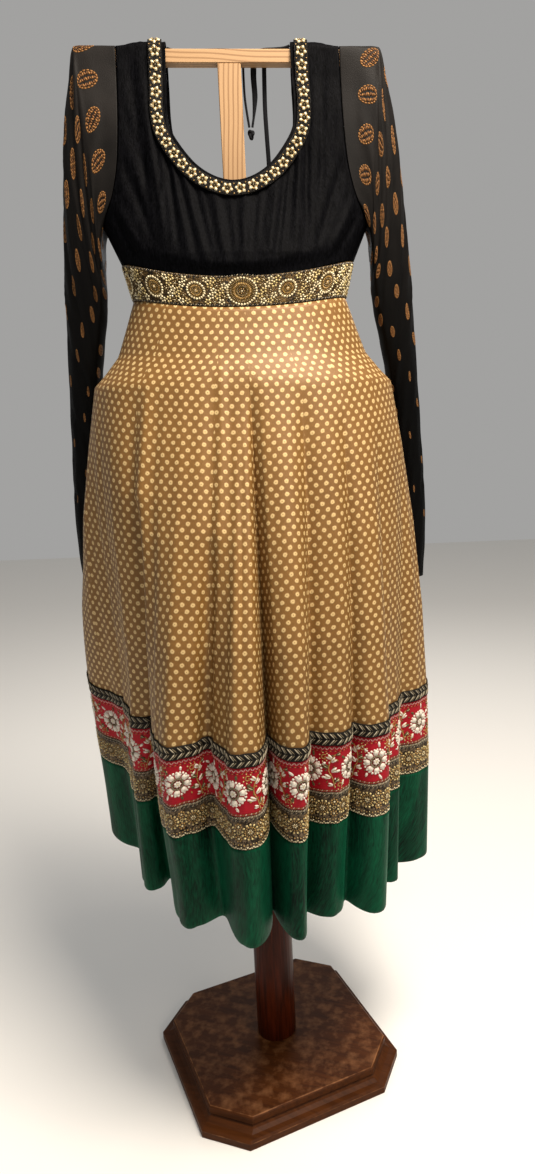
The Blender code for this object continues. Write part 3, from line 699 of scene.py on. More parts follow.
def beadwork():
    """Glass and gilt beads in their own colours: small, round, with a bright point of light on each."""
    made, tree, shader = start_material("bead_embroidery", Roughness=0.3, Metallic=0.12, IOR=1.5)
    thread = add(tree, "Attribute", attribute_name="thread").outputs["Color"]
    where = add(tree, "TexCoord").outputs["Object"]
    glint = add(tree, "TexNoise", {"Vector": where, "Scale": 420.0, "Detail": 2.0})
    share = add(tree, "MapRange", {"Value": glint.outputs["Fac"], "From Min": 0.35, "From Max": 0.7})
    tint = add(tree, "Mix", {0: share.outputs[0], 6: linear("#a89c8c"), 7: linear("#ffffff")},
               data_type="RGBA").outputs[2]
    colour = add(tree, "Mix", {0: 1.0, 6: thread, 7: tint}, data_type="RGBA",
                 blend_type="MULTIPLY").outputs[2]
    tree.links.new(colour, shader.inputs["Base Color"])
    return made


def backing(name, dark, light, bead_mm, shine):
    """Net crusted with tiny beads and bullion, so close that the ground is a rough dark glitter."""
    made, tree, shader = start_material(name, Roughness=0.5, Metallic=shine, Specular_IOR_Level=0.12)
    where = add(tree, "UVMap", uv_map="cloth")
    beads = add(tree, "TexVoronoi", {"Vector": where, "Scale": 1000 / bead_mm, "Randomness": 0.75})
    spread = add(tree, "SeparateColor", {0: beads.outputs["Color"]}).outputs[0]
    patch = add(tree, "TexNoise", {"Vector": where, "Scale": 60.0, "Detail": 2.0})
    both = add(tree, "Math", {0: spread, 1: patch.outputs["Fac"]}, operation="MULTIPLY")
    share = add(tree, "MapRange", {"Value": both, "From Min": 0.05, "From Max": 0.55})
    colour = add(tree, "Mix", {0: share.outputs[0], 6: linear(dark), 7: linear(light)},
                 data_type="RGBA").outputs[2]
    bump = add(tree, "Bump", {"Height": beads.outputs["Distance"], "Strength": 1.0,
                              "Distance": 0.0012}, invert=True)
    tree.links.new(colour, shader.inputs["Base Color"])
    tree.links.new(bump.outputs[0], shader.inputs["Normal"])
    return made


beads = beadwork()
trim_net = backing("neck_trim_net", "#060505", "#1c1710", 1.3, 0.1)
half_edge = [(-x, z) for x, z in NECKLINE]
neck_edge = np.array(half_edge + [(-x, z) for x, z in reversed(half_edge[:-1])])
neck_edge = np.concatenate([along(neck_edge[:3], np.linspace(0, 2, 9))[:-1],
                            along(neck_edge[2:-2], np.linspace(0, len(neck_edge) - 5, 160)),
                            along(neck_edge[-3:], np.linspace(0, 2, 9))[1:]])
heading = np.gradient(neck_edge, axis=0)
heading /= np.linalg.norm(heading, axis=1, keepdims=True)
inset = NECK_TRIM_INSET + np.linspace(0, NECK_TRIM_WIDTH, 6)[:, None]
x = neck_edge[:, 0] + heading[:, 1] * inset
height = np.minimum(SHOULDER, neck_edge[:, 1] - heading[:, 0] * inset)
flat_trim = bodice_points(x, height, -1)
NEAR = 0.0005
below, beside = bodice_points(x, height - NEAR, -1), bodice_points(x + NEAR, height, -1)
standing_off = np.cross(below - flat_trim, beside - flat_trim)
standing_off /= np.linalg.norm(standing_off, axis=-1, keepdims=True)
trim_points = flat_trim + standing_off * NECK_TRIM_RISE
neck_trim = shell("neck_trim_band", trim_points, NECK_TRIM_WALL, trim_net, "neck_trim")
trim_cloth = cloth_of(trim_points)
neck_flower = ring(5, 5.6, 6.4, 5.2, 3.6, "cream") + ring(5, 3.9, 4.2, 1.5, 4.6, "bronze")
neck_flower += ring(5, 5.0, 3.4, 1.8, 2.4, "gold", start=0.5) + [(0, 0, 0, 3.4, 3.4, 4.6, "olive")]
count = round(trim_cloth["across"][-1] * 1000 / FLOWER_PITCH)
stitches = []
for k in range(count):
    pitch = trim_cloth["across"][-1] * 1000 / count
    middle = (k + 0.5) * pitch
    stitches += moved(neck_flower, middle, NECK_TRIM_WIDTH * 500, 0.7 * k)
    for edge_up in (2.4, NECK_TRIM_WIDTH * 1000 - 2.4):
        stitches += [(middle + pitch / 2, edge_up, 0, 2.2, 2.2, 2.0, "gold")]
neck_beads = sewn("neck_trim_beads", trim_cloth, stitches, beads)


# Sleeves: long, close ones of black georgette with gold-bronze oval sprigs woven in, larger at the top.
# Each is one piece with a seam under the arm, set into the armhole, and it hangs off the batten's end.
SLEEVE_WALL = 0.0012
SLEEVE_POWER = 2.5
ARMHOLE_CLEAR = 0.0012
SLEEVE_ROWS = 112
SLEEVE_COLUMNS = 92
SPRIG_GAP = 46
# outer edge's out and height, inner edge's out and height, the middle's y, half-depth, and how much of the
# armhole's own shape is kept
SLEEVE = (
    (0.1560, 1.6465, 0.1950, 1.410, 0.000, 0.034, 1.00),
    (0.1820, 1.6465, 0.1962, 1.399, 0.000, 0.034, 0.75),
    (0.2085, 1.6462, 0.1968, 1.387, 0.000, 0.034, 0.50),
    (0.2165, 1.6400, 0.1972, 1.372, 0.000, 0.034, 0.25),
    (0.2225, 1.6100, 0.1975, 1.355, 0.002, 0.034, 0.12),
    (0.2360, 1.5400, 0.1985, 1.335, 0.006, 0.033, 0.00),
    (0.2490, 1.4600, 0.2000, 1.310, 0.014, 0.032, 0.00),
    (0.2620, 1.3600, 0.2090, 1.270, 0.034, 0.031, 0.00),
    (0.2740, 1.2500, 0.2255, 1.205, 0.062, 0.030, 0.00),
    (0.2870, 1.1200, 0.2390, 1.105, 0.090, 0.028, 0.00),
    (0.2990, 0.9700, 0.2530, 0.965, 0.112, 0.026, 0.00),
    (0.2960, 0.8520, 0.2520, 0.850, 0.118, 0.025, 0.00),
)
# Creases in mm, on a sleeve laid out 300 wide, from the ridge round the front and back, and down its length
SLEEVE_CREASES = (
    (20, 20, 96, 190, 6.0, 3.2),
    (8, 60, 80, 262, 5.0, -2.4),
    (44, 30, 128, 170, 6.0, 3.0),
    (70, 20, 140, 118, 5.0, -2.2),
    (6, 150, 92, 330, 6.0, 3.0),
    (58, 150, 134, 260, 5.0, 2.4),
    (12, 260, 112, 396, 5.0, -2.2),
    (30, 330, 128, 430, 6.0, 2.8),
    (20, 430, 120, 505, 6.0, 2.6),
    (32, 520, 132, 590, 5.0, -2.0),
    (18, 560, 124, 640, 5.5, 2.4),
    (30, 650, 118, 700, 5.0, 2.0),
    (160, 120, 262, 30, 6.0, 2.8),
    (172, 190, 284, 90, 5.0, -2.2),
    (166, 300, 290, 190, 6.0, 3.0),
    (180, 400, 280, 330, 6.0, -2.4),
    (168, 500, 286, 440, 6.0, 2.6),
    (176, 610, 280, 560, 5.5, 2.2),
)
SLEEVE_LAID_OUT = 0.3
SPRIG_MARGIN = 34  # mm from the armhole seam to the first row of sprigs
SPRIG_TILTS = (0.5, 0.15, 0.8, 0.3, -0.2, 0.65, 0.05, 0.4)


def sleeve_rings():
    """The sleeve at -X, ring by ring from the armhole, each round from the ridge by way of the front."""
    last = len(ARMHOLE) - 1
    out, height = np.array(ARMHOLE + ARMHOLE[-2::-1]).T
    in_front = np.arange(len(out)) <= last
    seam = np.where(in_front[:, None], bodice_points(out, height, -1), bodice_points(out, height, 1))
    seam[:, 0] += ARMHOLE_CLEAR
    seam[[0, last, 2 * last], 1] = 0.0
    share = np.clip((SLEEVE[0][1] - seam[:, 2]) / (SLEEVE[0][1] - SLEEVE[0][3]), 0, 1)
    deep = (1 - abs(2 * share - 1) ** SLEEVE_POWER) ** (1 / SLEEVE_POWER)
    deep = np.where(in_front, -deep, deep)
    rings = []
    for out_x, out_z, in_x, in_z, middle, half_depth, keeps in SLEEVE:
        own = np.stack([out_x + (in_x - out_x) * share, middle + half_depth * deep,
                        out_z + (in_z - out_z) * share], axis=1)
        shifted = seam.copy()
        shifted[:, 0] += (out_x - SLEEVE[0][0]) * (1 - share) + (in_x - SLEEVE[0][2]) * share
        shifted[:, 2] += (out_z - SLEEVE[0][1]) * (1 - share) + (in_z - SLEEVE[0][3]) * share
        rings.append(keeps * shifted + (1 - keeps) * own)
    return np.array(rings) * (-1, 1, 1)


def georgette():
    """Sheer black georgette: a fine open weave, black, with soft charcoal painted in cloudy patches towards
    the top of the sleeve as painted light.
    """
    made, tree, shader = start_material("black_georgette", Roughness=0.5, Specular_IOR_Level=0.05)
    where = add(tree, "UVMap", uv_map="cloth")
    weave = add(tree, "TexNoise", {"Vector": where, "Scale": 650.0, "Detail": 2.0})
    cloudy = add(tree, "TexNoise", {"Vector": where, "Scale": 16.0, "Detail": 3.0})
    height = add(tree, "SeparateXYZ", {0: add(tree, "TexCoord").outputs["Object"]}).outputs["Z"]
    # painted light: the georgette is painted lighter higher up the sleeve, from 1.15 m to 1.60 m, where the
    # light falls on it
    painted_light_up_top = add(tree, "MapRange", {"Value": height, "From Min": 1.15, "From Max": 1.60})
    share = add(tree, "Math", {0: painted_light_up_top, 1: cloudy.outputs["Fac"]}, operation="MULTIPLY")
    colour = add(tree, "Mix", {0: share, 6: linear("#050505"), 7: linear("#24211f")},
                 data_type="RGBA").outputs[2]
    bump = add(tree, "Bump", {"Height": weave.outputs["Fac"], "Strength": 0.35, "Distance": 0.0008})
    tree.links.new(colour, shader.inputs["Base Color"])
    tree.links.new(bump.outputs[0], shader.inputs["Normal"])
    return made


def zari_thread(name, shine):
    """Metal-wrapped thread, laid flat: a soft satin gleam in each thread's own colour."""
    made, tree, shader = start_material(name, Roughness=0.5, Metallic=shine, Specular_IOR_Level=0.2)
    thread = add(tree, "Attribute", attribute_name="thread").outputs["Color"]
    where = add(tree, "TexCoord").outputs["Object"]
    twist = add(tree, "TexNoise", {"Vector": where, "Scale": 800.0, "Detail": 2.0})
    tint = add(tree, "Mix", {0: twist.outputs["Fac"], 6: linear("#a49a8c"), 7: linear("#ffffff")},
               data_type="RGBA").outputs[2]
    colour = add(tree, "Mix", {0: 1.0, 6: thread, 7: tint}, data_type="RGBA",
                 blend_type="MULTIPLY").outputs[2]
    bump = add(tree, "Bump", {"Height": twist.outputs["Fac"], "Strength": 0.4, "Distance": 0.0005})
    tree.links.new(colour, shader.inputs["Base Color"])
    tree.links.new(bump.outputs[0], shader.inputs["Normal"])
    return made


sheer = georgette()
woven_gold = zari_thread("woven_gold_thread", 0.4)
sprig = ring(18, 1.0, 5.0, 2.6, 0.9, "sprig light", along_it=True)
sprig = [(8.6 * x, 12.4 * y, math.atan2(12.4 * x, -8.6 * y), *rest) for x, y, _, *rest in sprig]
for sprig_row in range(-4, 5):
    reach = 8.4 * math.sqrt(1 - (sprig_row / 4.9) ** 2)
    sprig += [(place * reach, sprig_row * 2.5, 0.25 * (-1) ** sprig_row, reach * 0.8, 3.1, 0.8,
               ("sprig light", "sprig mid", "sprig dark")[(sprig_row + round(3 * place)) % 3])
              for place in (-0.66, 0.0, 0.66)]
rings = sleeve_rings()
rings = along(rings, np.linspace(0, len(SLEEVE) - 1, SLEEVE_ROWS)).swapaxes(0, 1)
round_again = np.concatenate([rings[-3:-1], rings, rings[1:3]])
right_arm = along(round_again, np.linspace(2, len(round_again) - 3, SLEEVE_COLUMNS + 1)).swapaxes(0, 1)
_, sleeve_down = runs(right_arm)
laid_out = np.linspace(0, SLEEVE_LAID_OUT, SLEEVE_COLUMNS + 1)[None, :] + 0 * sleeve_down
rows = np.arange(SLEEVE_ROWS)[:, None]
sunk = crease_depths(laid_out, sleeve_down.mean(axis=1)[:, None], SLEEVE_CREASES)
sunk += 0.0011 * ruffled(np.sin(laid_out / SLEEVE_LAID_OUT * 2 * math.pi) * 0.05, sleeve_down, 18, 30, 5.0)
right_arm = right_arm - normals(right_arm) * (sunk * smoothstep(rows / SLEEVE_HEAD_ROWS))[..., None]
right_arm[:, -1] = right_arm[:, 0]
for word, points in (("right", right_arm), ("left", right_arm[:, ::-1] * (-1, 1, 1))):
    sleeve = shell("sleeve_" + word + "_cloth", points, SLEEVE_WALL, sheer, "sleeve_" + word)
    sleeve_cloth = cloth_of(points)
    length = sleeve_cloth["down"][-1] * 1000
    stitches = []
    for k in range(int((length - 2 * SPRIG_MARGIN - 2) / SPRIG_GAP)):
        down = SPRIG_MARGIN + k * SPRIG_GAP
        share = down / length
        round_it = sleeve_cloth["across"][-1] * 1000
        here = round_it / np.interp(down / 1000, sleeve_cloth["down"], sleeve_cloth["narrowing"])
        fit = max(2, round(here / (SPRIG_GAP + 6)))
        for place in range(fit):
            across = round_it * (place + 0.5 * (k % 2) + 0.3) / fit % round_it
            stitches += moved(sprig, across, length - down, SPRIG_TILTS[(3 * k + place) % 8],
                              1.0 - 0.52 * smoothstep((share - 0.25) / 0.45))
    sprigs = sewn("sleeve_" + word + "_sprigs", sleeve_cloth, stitches, woven_gold)


# Skirt: flared panels of gold-brown brocade, joined edge to edge with thin seams that fall in the valleys
# of the folds. It is cut here in a front and a back, hangs from the waistband and lies over the hip hoop.
BAND_FOOT_Z = 1.303
BRAID_TOP_Z = 0.701
FLORAL_TOP_Z = 0.681
GOLD_TOP_Z = 0.608
VELVET_TOP_Z = 0.555
HEM_Z = 0.392
HIP_Z = 1.182
LIFT = 0.044
LIFT_FROM_Z = 1.00
FIRST_SIDE_SEAM = 0.5
SECOND_SIDE_SEAM = 8.5
BACK_SEAM_END = 16.5
LOBE_POWER = 0.75
SKIRT_WALL = 0.0014
COLUMN_STEP = 0.0062
EVEN_Z = 0.68
DOT_PITCH = 0.0143
DOT_ROW = 0.0090
DOT_EDGE = (0.0037, 0.0022)  # how far from a dot's middle its colour begins, and is full
DOT_MIDDLE = (0.0011, 0.0004)  # the same, for the dark spot in its middle
# side_z, front_sag, back_sag, half_width, front, back
SKIRT = (
    (WAIST_Z, 0.032, 0.012, 0.1710, 0.104, 0.080),
    (BAND_FOOT_Z, 0.022, 0.010, 0.1580, 0.112, 0.088),
    (1.266, 0.014, 0.008, 0.1710, 0.121, 0.102),
    (1.225, 0.008, 0.005, 0.1860, 0.135, 0.122),
    (1.198, 0.004, 0.003, 0.2080, 0.149, 0.142),
    (1.182, 0.003, 0.002, 0.2240, 0.156, 0.152),
    (1.090, 0.000, 0.000, 0.2400, 0.186, 0.165),
    (0.970, 0.000, 0.000, 0.2580, 0.224, 0.176),
    (0.830, 0.000, 0.000, 0.2730, 0.260, 0.188),
    (BRAID_TOP_Z, 0.000, 0.000, 0.2800, 0.280, 0.198),
    (VELVET_TOP_Z, 0.000, 0.000, 0.2830, 0.273, 0.206),
    (HEM_Z, 0.000, 0.000, 0.2800, 0.262, 0.212),
)
# A valley at the hip and at the hem in degrees round, its depth, lean and top, the fold after it: its crest
# out at the knee, how much less it is at the hem, and how far across it is
VALLEYS = (
    (-24, -45, 0.070, 0.000, 1.10, 0.026, 0.000, 0.50),
    (11, -6, 0.050, 0.015, 0.99, -0.066, 0.000, 0.45),
    (53, 46, 0.130, 0.075, 1.03, -0.008, 0.030, 0.66),
    (82, 71, 0.085, 0.000, 0.98, 0.022, 0.022, 0.70),
    (92, 93, 0.100, 0.006, 1.18, 0.008, 0.015, 0.50),
    (109, 104, 0.085, 0.000, 1.17, -0.024, 0.024, 0.55),
    (125, 121, 0.085, -0.015, 1.14, -0.016, 0.000, 0.40),
    (143, 140, 0.095, -0.030, 1.12, -0.044, 0.000, 0.55),
    (163, 161, 0.080, -0.015, 1.08, -0.004, 0.000, 0.50),
    (190, 192, 0.060, 0.000, 1.12, 0.000, 0.000, 0.60),
    (209, 208, 0.055, 0.010, 1.08, 0.008, 0.000, 0.45),
    (228, 230, 0.070, 0.000, 1.13, 0.000, 0.000, 0.40),
    (247, 246, 0.055, -0.010, 1.10, 0.010, 0.000, 0.55),
    (266, 266, 0.075, 0.000, 1.15, 0.004, 0.000, 0.50),
    (286, 283, 0.060, 0.010, 1.08, 0.000, 0.000, 0.60),
    (306, 300, 0.070, 0.000, 1.12, 0.010, 0.000, 0.45),
    (336, 315, 0.070, 0.000, 1.10, 0.026, 0.000, 0.50),
    (371, 354, 0.050, 0.015, 0.99, -0.066, 0.000, 0.45),
)
# Creases: fold at the top, top height, fold at the foot, foot height, half-width and depth in mm
SKIRT_CREASES = (
    (0.72, 1.18, 0.70, 0.50, 9, 4.0),
    (1.18, 1.12, 1.15, 0.39, 10, 5.0),
    (1.40, 1.22, 1.36, 0.62, 9, 3.0),
    (1.46, 0.80, 1.44, 0.38, 8, 4.5),
    (1.66, 1.16, 1.62, 0.39, 10, -4.0),
    (1.80, 0.98, 1.78, 0.38, 9, 4.5),
    (1.95, 1.18, 1.98, 0.42, 13, 17.0),
    (2.12, 1.21, 2.16, 0.74, 8, -4.0),
    (2.30, 1.20, 2.32, 0.56, 8, 3.0),
    (2.46, 0.86, 2.44, 0.37, 8, 4.0),
    (2.62, 1.21, 2.70, 0.37, 8, -3.6),
    (2.84, 0.74, 2.80, 0.37, 7, 3.5),
    (2.98, 1.20, 3.00, 0.56, 10, 9.0),
    (3.20, 1.22, 3.18, 0.66, 8, -3.2),
    (3.44, 1.22, 3.40, 0.50, 8, 3.4),
    (3.62, 0.82, 3.58, 0.37, 7, 3.0),
    (3.72, 1.20, 3.76, 0.52, 17, 11.0),
    (4.18, 1.20, 4.20, 0.66, 8, -3.0),
    (4.45, 0.98, 4.42, 0.37, 7, 3.0),
    (5.36, 1.10, 5.40, 0.37, 8, 3.0),
    (5.70, 0.76, 5.68, 0.37, 7, 3.2),
    (6.34, 1.18, 6.36, 0.37, 8, 3.2),
    (6.66, 0.84, 6.62, 0.37, 8, -3.0),
    (7.40, 1.08, 7.44, 0.37, 8, 3.4),
    (7.72, 0.80, 7.70, 0.37, 7, 3.0),
    (8.30, 1.16, 8.26, 0.39, 9, 3.2),
    (8.72, 1.06, 8.70, 0.39, 9, 3.2),
    (9.40, 1.14, 9.44, 0.40, 9, 3.4),
    (9.74, 0.84, 9.70, 0.40, 8, 3.0),
    (10.45, 1.12, 10.40, 0.40, 8, 3.0),
    (11.36, 1.18, 11.40, 0.40, 9, 3.4),
    (11.68, 0.80, 11.66, 0.40, 8, -2.6),
    (12.44, 1.08, 12.40, 0.40, 8, 3.0),
    (13.38, 1.16, 13.40, 0.40, 9, 3.4),
    (13.70, 0.78, 13.66, 0.40, 8, 3.0),
    (14.42, 1.10, 14.46, 0.40, 8, 3.0),
    (15.34, 1.16, 15.36, 0.40, 9, 3.2),
    (15.66, 0.86, 15.62, 0.40, 8, 3.0),
    (16.24, 1.12, 16.26, 0.39, 9, 3.0),
)


def fold_shape(index, height):
    """Each valley's bearing, depth and lean, and the next fold's crest, at heights."""
    hip, hem, depth, lean, start_z, crest, tuck, _ = np.array(VALLEYS)[index].T
    down = smoothstep((HIP_Z - height) / (HIP_Z - HEM_Z))
    grown = np.maximum(0.0, (start_z - height) / (start_z - HEM_Z))
    settled = smoothstep((HIP_Z - height) / (HIP_Z - BRAID_TOP_Z))
    tucked = smoothstep((BRAID_TOP_Z - height) / (BRAID_TOP_Z - HEM_Z))
    return hip + (hem - hip) * down, depth * grown**0.8, lean * grown**2, crest * settled - tuck * tucked


def skirt_points(folds, heights):
    """The skirt's outer face: a row for each height, at the side seam, and a column for each place round,
    in valleys counted from the first."""
    heights = np.asarray(heights, float)[:, None]
    index = np.clip(folds.astype(int), 0, len(VALLEYS) - 2)
    phase = folds - index
    start, start_depth, start_lean, crest = fold_shape(index, heights)
    end, end_depth, end_lean, _ = fold_shape(index + 1, heights)
    bearing = np.radians(start + (end - start) * phase)
    peak = np.log(0.5) / np.log(np.array(VALLEYS)[index, 7])
    arch = np.maximum(0.0, np.sin(math.pi * np.clip(phase, 0, 1) ** peak)) ** LOBE_POWER
    front_sag, back_sag, half_width, front, back = (c[:, None] for c in at_height(SKIRT, heights[:, 0]))
    across, forth = np.cos(bearing), np.sin(bearing)
    power = 2 / OUTLINE_POWER
    x = -half_width * np.copysign(abs(across) ** power, across)
    y = -np.where(forth > 0, front, back) * np.copysign(abs(forth) ** power, forth)
    depth = start_depth + (end_depth - start_depth) * phase
    lean = start_lean + (end_lean - start_lean) * phase
    reach = np.hypot(x, y)
    out = 1 + (crest * arch - depth * (1 - arch)) / reach
    shift = lean * (1 - arch) / reach
    sag = np.where(forth > 0, front_sag, back_sag) * forth**2
    low = smoothstep((LIFT_FROM_Z - heights) / (LIFT_FROM_Z - BRAID_TOP_Z))
    lift = LIFT * smoothstep((0.1 - forth) / 0.85) * low
    return np.stack([x * out + y * shift, y * out - x * shift, heights - sag + lift], axis=-1)


def places_round(start, end):
    """Places from one side seam to the other at even steps of cloth, with one in each valley."""
    stops = [start, *range(math.ceil(start), math.floor(end) + 1), end]
    found = []
    for a, b in zip(stops, stops[1:]):
        fine = np.linspace(a, b, 80)
        run = runs(skirt_points(fine, [EVEN_Z]))[0][0]
        count = max(8, round(run[-1] / COLUMN_STEP))
        found.extend(np.interp(np.linspace(0, run[-1], count + 1)[:-1], run, fine))
    return np.array([*found, end])


def skirt_cloth(word, heights, rise=0.0):
    """A stretch of the skirt's cloth: the sharp valleys eased, the creases laid in, and off it by rise."""
    folds = PLACES[word]
    beyond = folds[1] - folds[0]
    before, after = folds[0] - beyond * np.arange(4, 0, -1), folds[-1] + beyond * np.arange(1, 5)
    wider = np.concatenate([before, folds, after])
    points = skirt_points(wider, heights)
    weights = np.array([1, 2, 3, 2, 1]) / 9
    points = sum(w * points[:, k:k + len(folds) + 4] for k, w in enumerate(weights))
    place, heights = wider[2:-2], np.asarray(heights, float)[:, None]
    stretch = np.linalg.norm(np.gradient(points, axis=1), axis=-1) / np.gradient(place)
    sunk = 0.0
    for top_place, top_z, foot_place, foot_z, half_width, depth in SKIRT_CREASES:
        share = np.clip((top_z - heights) / (top_z - foot_z + 0.05), 0, 1)
        aside = (place - top_place - (foot_place - top_place) * share) * stretch * 1000 / half_width
        sunk = sunk + depth / 1000 * np.exp(-aside**2) * np.sin(math.pi * share) ** 0.8
    outward = normals(points) if len(points) > 1 else 0.0
    points = points + outward * (rise - sunk)[..., None]
    return points[:, 2:-2]


def gold_brocade():
    """Jacquard in silk and metal thread: a gold-brown ground with small cream-gold dots in staggered rows."""
    made, tree, shader = start_material("gold_dot_brocade", Roughness=0.5, Metallic=0.1,
                                        Specular_IOR_Level=0.3)
    where = add(tree, "UVMap", uv_map="cloth")
    uneven = add(tree, "TexNoise", {"Vector": where, "Scale": 300.0, "Detail": 1.0})
    wobble = add(tree, "VectorMath", {0: uneven.outputs["Color"], 1: (0.5, 0.5, 0.5)}, operation="SUBTRACT")
    wobble = add(tree, "VectorMath", {0: wobble, "Scale": 0.0018}, operation="SCALE")
    place = add(tree, "VectorMath", {0: where, 1: wobble}, operation="ADD")
    reach = (DOT_PITCH / 2, DOT_ROW, 1.0)
    other_end = tuple(-r for r in reach)
    nearest = []
    for offset in ((0.0, 0.0, 0.0), (DOT_PITCH / 2, DOT_ROW, 0.0)):
        moved_on = add(tree, "VectorMath", {0: place, 1: offset}, operation="ADD")
        wrapped = add(tree, "VectorMath", {0: moved_on, 1: reach, 2: other_end}, operation="WRAP")
        nearest.append(add(tree, "VectorMath", {0: wrapped}, operation="LENGTH").outputs["Value"])
    away = add(tree, "Math", {0: nearest[0], 1: nearest[1]}, operation="MINIMUM")
    dot = add(tree, "MapRange", {"Value": away, "From Min": DOT_EDGE[0], "From Max": DOT_EDGE[1]})
    middle = add(tree, "MapRange", {"Value": away, "From Min": DOT_MIDDLE[0], "From Max": DOT_MIDDLE[1]})
    fine = add(tree, "Mapping", {"Vector": where, "Scale": (1300.0, 260.0, 1.0)})
    threads = add(tree, "TexNoise", {"Vector": fine, "Scale": 1.0, "Detail": 2.0})
    broad = add(tree, "TexNoise", {"Vector": where, "Scale": 7.0, "Detail": 2.0})
    ground = add(tree, "Mix", {0: threads.outputs["Fac"], 6: linear("#5f411d"), 7: linear("#8c642f")},
                 data_type="RGBA").outputs[2]
    shade = add(tree, "MapRange", {"Value": broad.outputs["Fac"], "From Min": 0.3, "From Max": 0.7,
                                   "To Max": 0.35})
    ground = add(tree, "Mix", {0: shade, 6: ground, 7: linear("#573b1d")}, data_type="RGBA").outputs[2]
    colour = add(tree, "Mix", {0: dot.outputs[0], 6: ground, 7: linear("#c2a673")},
                 data_type="RGBA").outputs[2]
    middle = add(tree, "Math", {0: middle, 1: 0.75}, operation="MULTIPLY")
    colour = add(tree, "Mix", {0: middle, 6: colour, 7: linear("#77542a")}, data_type="RGBA").outputs[2]
    raised = add(tree, "Math", {0: dot, 1: threads.outputs["Fac"]}, operation="ADD")
    bump = add(tree, "Bump", {"Height": raised, "Strength": 0.35, "Distance": 0.0007})
    tree.links.new(colour, shader.inputs["Base Color"])
    tree.links.new(bump.outputs[0], shader.inputs["Normal"])
    return made


def gore_sides(word, points):
    """The u at each side of every column of faces, measured from the middle of its own gore."""
    folds, (across, _) = PLACES[word], runs(points)
    left, right = across[:, :-1].copy(), across[:, 1:].copy()
    gore = np.floor((folds[:-1] + folds[1:]) / 2)
    for number in np.unique(gore):
        columns = np.flatnonzero(gore == number)
        first, last = columns[0], columns[-1] + 1
        middle = (across[:, first] + across[:, last]) / 2
        if first == 0:
            middle = across[:, first]
        elif last == len(folds) - 1:
            middle = across[:, last]
        for side in (left, right):
            side[:, columns] += DOT_PITCH * 0.37 * number - middle[:, None]
    return left, right


PLACES = {
    "front": places_round(FIRST_SIDE_SEAM, SECOND_SIDE_SEAM),
    "back": places_round(SECOND_SIDE_SEAM, BACK_SEAM_END),
}
brocade = gold_brocade()
for word in PLACES:
    points = skirt_cloth(word, np.linspace(BAND_FOOT_Z - SEAM, FLORAL_TOP_Z + SEAM, 88))
    panel = shell("skirt_" + word + "_cloth", points, SKIRT_WALL, brocade, "skirt_" + word,
                  u_sides=gore_sides(word, points))


# Waistband: a stiff dark band crusted with beads, one large medallion at the middle in front and smaller
# ones to each side, bead flowers between them, and a twisted cord along each edge.
BORDER_WALL = 0.0018
BAND_MEDALLION_X = 0.005
BAND_PITCH = 64
FRONT_MEDALLION = 22.0
BACK_MEDALLION = 14.5
SIDE_MEDALLIONS = (15.5, 14.0)
BAND_BULGE = 3.2  # how far the upper cord goes up round the front medallion
BAND_FLOWER_PITCH = 9.8


def twisted_cord(length, up, thread, second, pitch=3.4):
    """A cord of two colours sewn along an edge."""
    count = int(length / pitch)
    return [((k + 0.5) * pitch, up, 0.75, 4.6, 2.1, 2.0, (thread, second)[k % 2]) for k in range(count)]


def medallion(radius):
    """A round of beads: a cream rim, spokes, an inner ring and a pale middle."""
    rim = round(2 * math.pi * radius / 4.4)
    return (ring(rim, radius - 1.8, 4.0, 3.8, 3.8, "cream")
            + ring(round(rim * 1.3), radius * 0.74, radius * 0.28, 2.0, 2.6, "bronze")
            + ring(round(rim * 1.1), radius * 0.52, radius * 0.26, 1.8, 3.0, "gold", start=0.5)
            + ring(round(rim * 0.8), radius * 0.34, radius * 0.24, 1.8, 3.2, "bronze")
            + ring(7, radius * 0.16, 2.6, 2.0, 3.6, "gold") + [(0, 0, 0, 3.4, 3.4, 4.8, "cream")])


band_ground = backing("waistband_bead_ground", "#0d0906", "#5a4524", 2.4, 0.15)
band_flowers = (
    ring(5, 3.3, 3.9, 3.5, 3.4, "cream") + [(0, 0, 0, 2.6, 2.6, 3.0, "olive")],
    ring(5, 3.3, 3.9, 3.5, 3.4, "pale gold") + [(0, 0, 0, 2.6, 2.6, 3.0, "brown")],
    ring(5, 3.1, 3.4, 3.0, 2.6, "bronze") + [(0, 0, 0, 2.4, 2.4, 3.0, "cream")],
)
for word in PLACES:
    points = skirt_cloth(word, np.linspace(WAIST_Z - SEAM, BAND_FOOT_Z + SEAM, 12))
    band = shell("waistband_" + word + "_cloth", points, BORDER_WALL, band_ground, "waistband_" + word)
    tall = cloth_of(points)["down"][-1] * 1000
    cloth = cloth_of(skirt_cloth(word, np.linspace(WAIST_Z + 0.006, BAND_FOOT_Z + SEAM, 14)))
    length = cloth["across"][-1] * 1000
    middle, radius = length / 2, BACK_MEDALLION
    if word == "front":
        middle = float(np.interp(BAND_MEDALLION_X, points[5, :, 0], cloth["across"])) * 1000
        radius = FRONT_MEDALLION
    rounds = [(middle, radius)]
    for side in (-1, 1):
        k = 1
        while 20 < middle + side * BAND_PITCH * k < length - 20:
            rounds.append((middle + side * BAND_PITCH * k, SIDE_MEDALLIONS[k % 2]))
            k += 1
    bulge = BAND_BULGE if word == "front" else 0.0
    stitches = twisted_cord(length, 2.0, "taupe", "dark")
    for across, up, *rest in twisted_cord(length, tall - 2.0, "taupe", "dark"):
        stitches += [(across, up + bulge * math.exp(-((across - middle) / 17) ** 2), *rest)]
    for across, radius in rounds:
        stitches += moved(medallion(radius), across, tall / 2)
    for k in range(int(length / BAND_FLOWER_PITCH)):
        for row in range(5):
            across = (k + 0.5 * (row % 2) + 0.4) * BAND_FLOWER_PITCH
            up = 7.2 + row * (tall - 14.4) / 4
            if all(math.hypot(across - a, up - tall / 2) > r + 3.2 for a, r in rounds):
                stitches += moved(band_flowers[(k + 2 * row) % 3], across, up, 1.3 * k + row)
    sewn_beads = sewn("waistband_" + word + "_beads", cloth, stitches, beads)


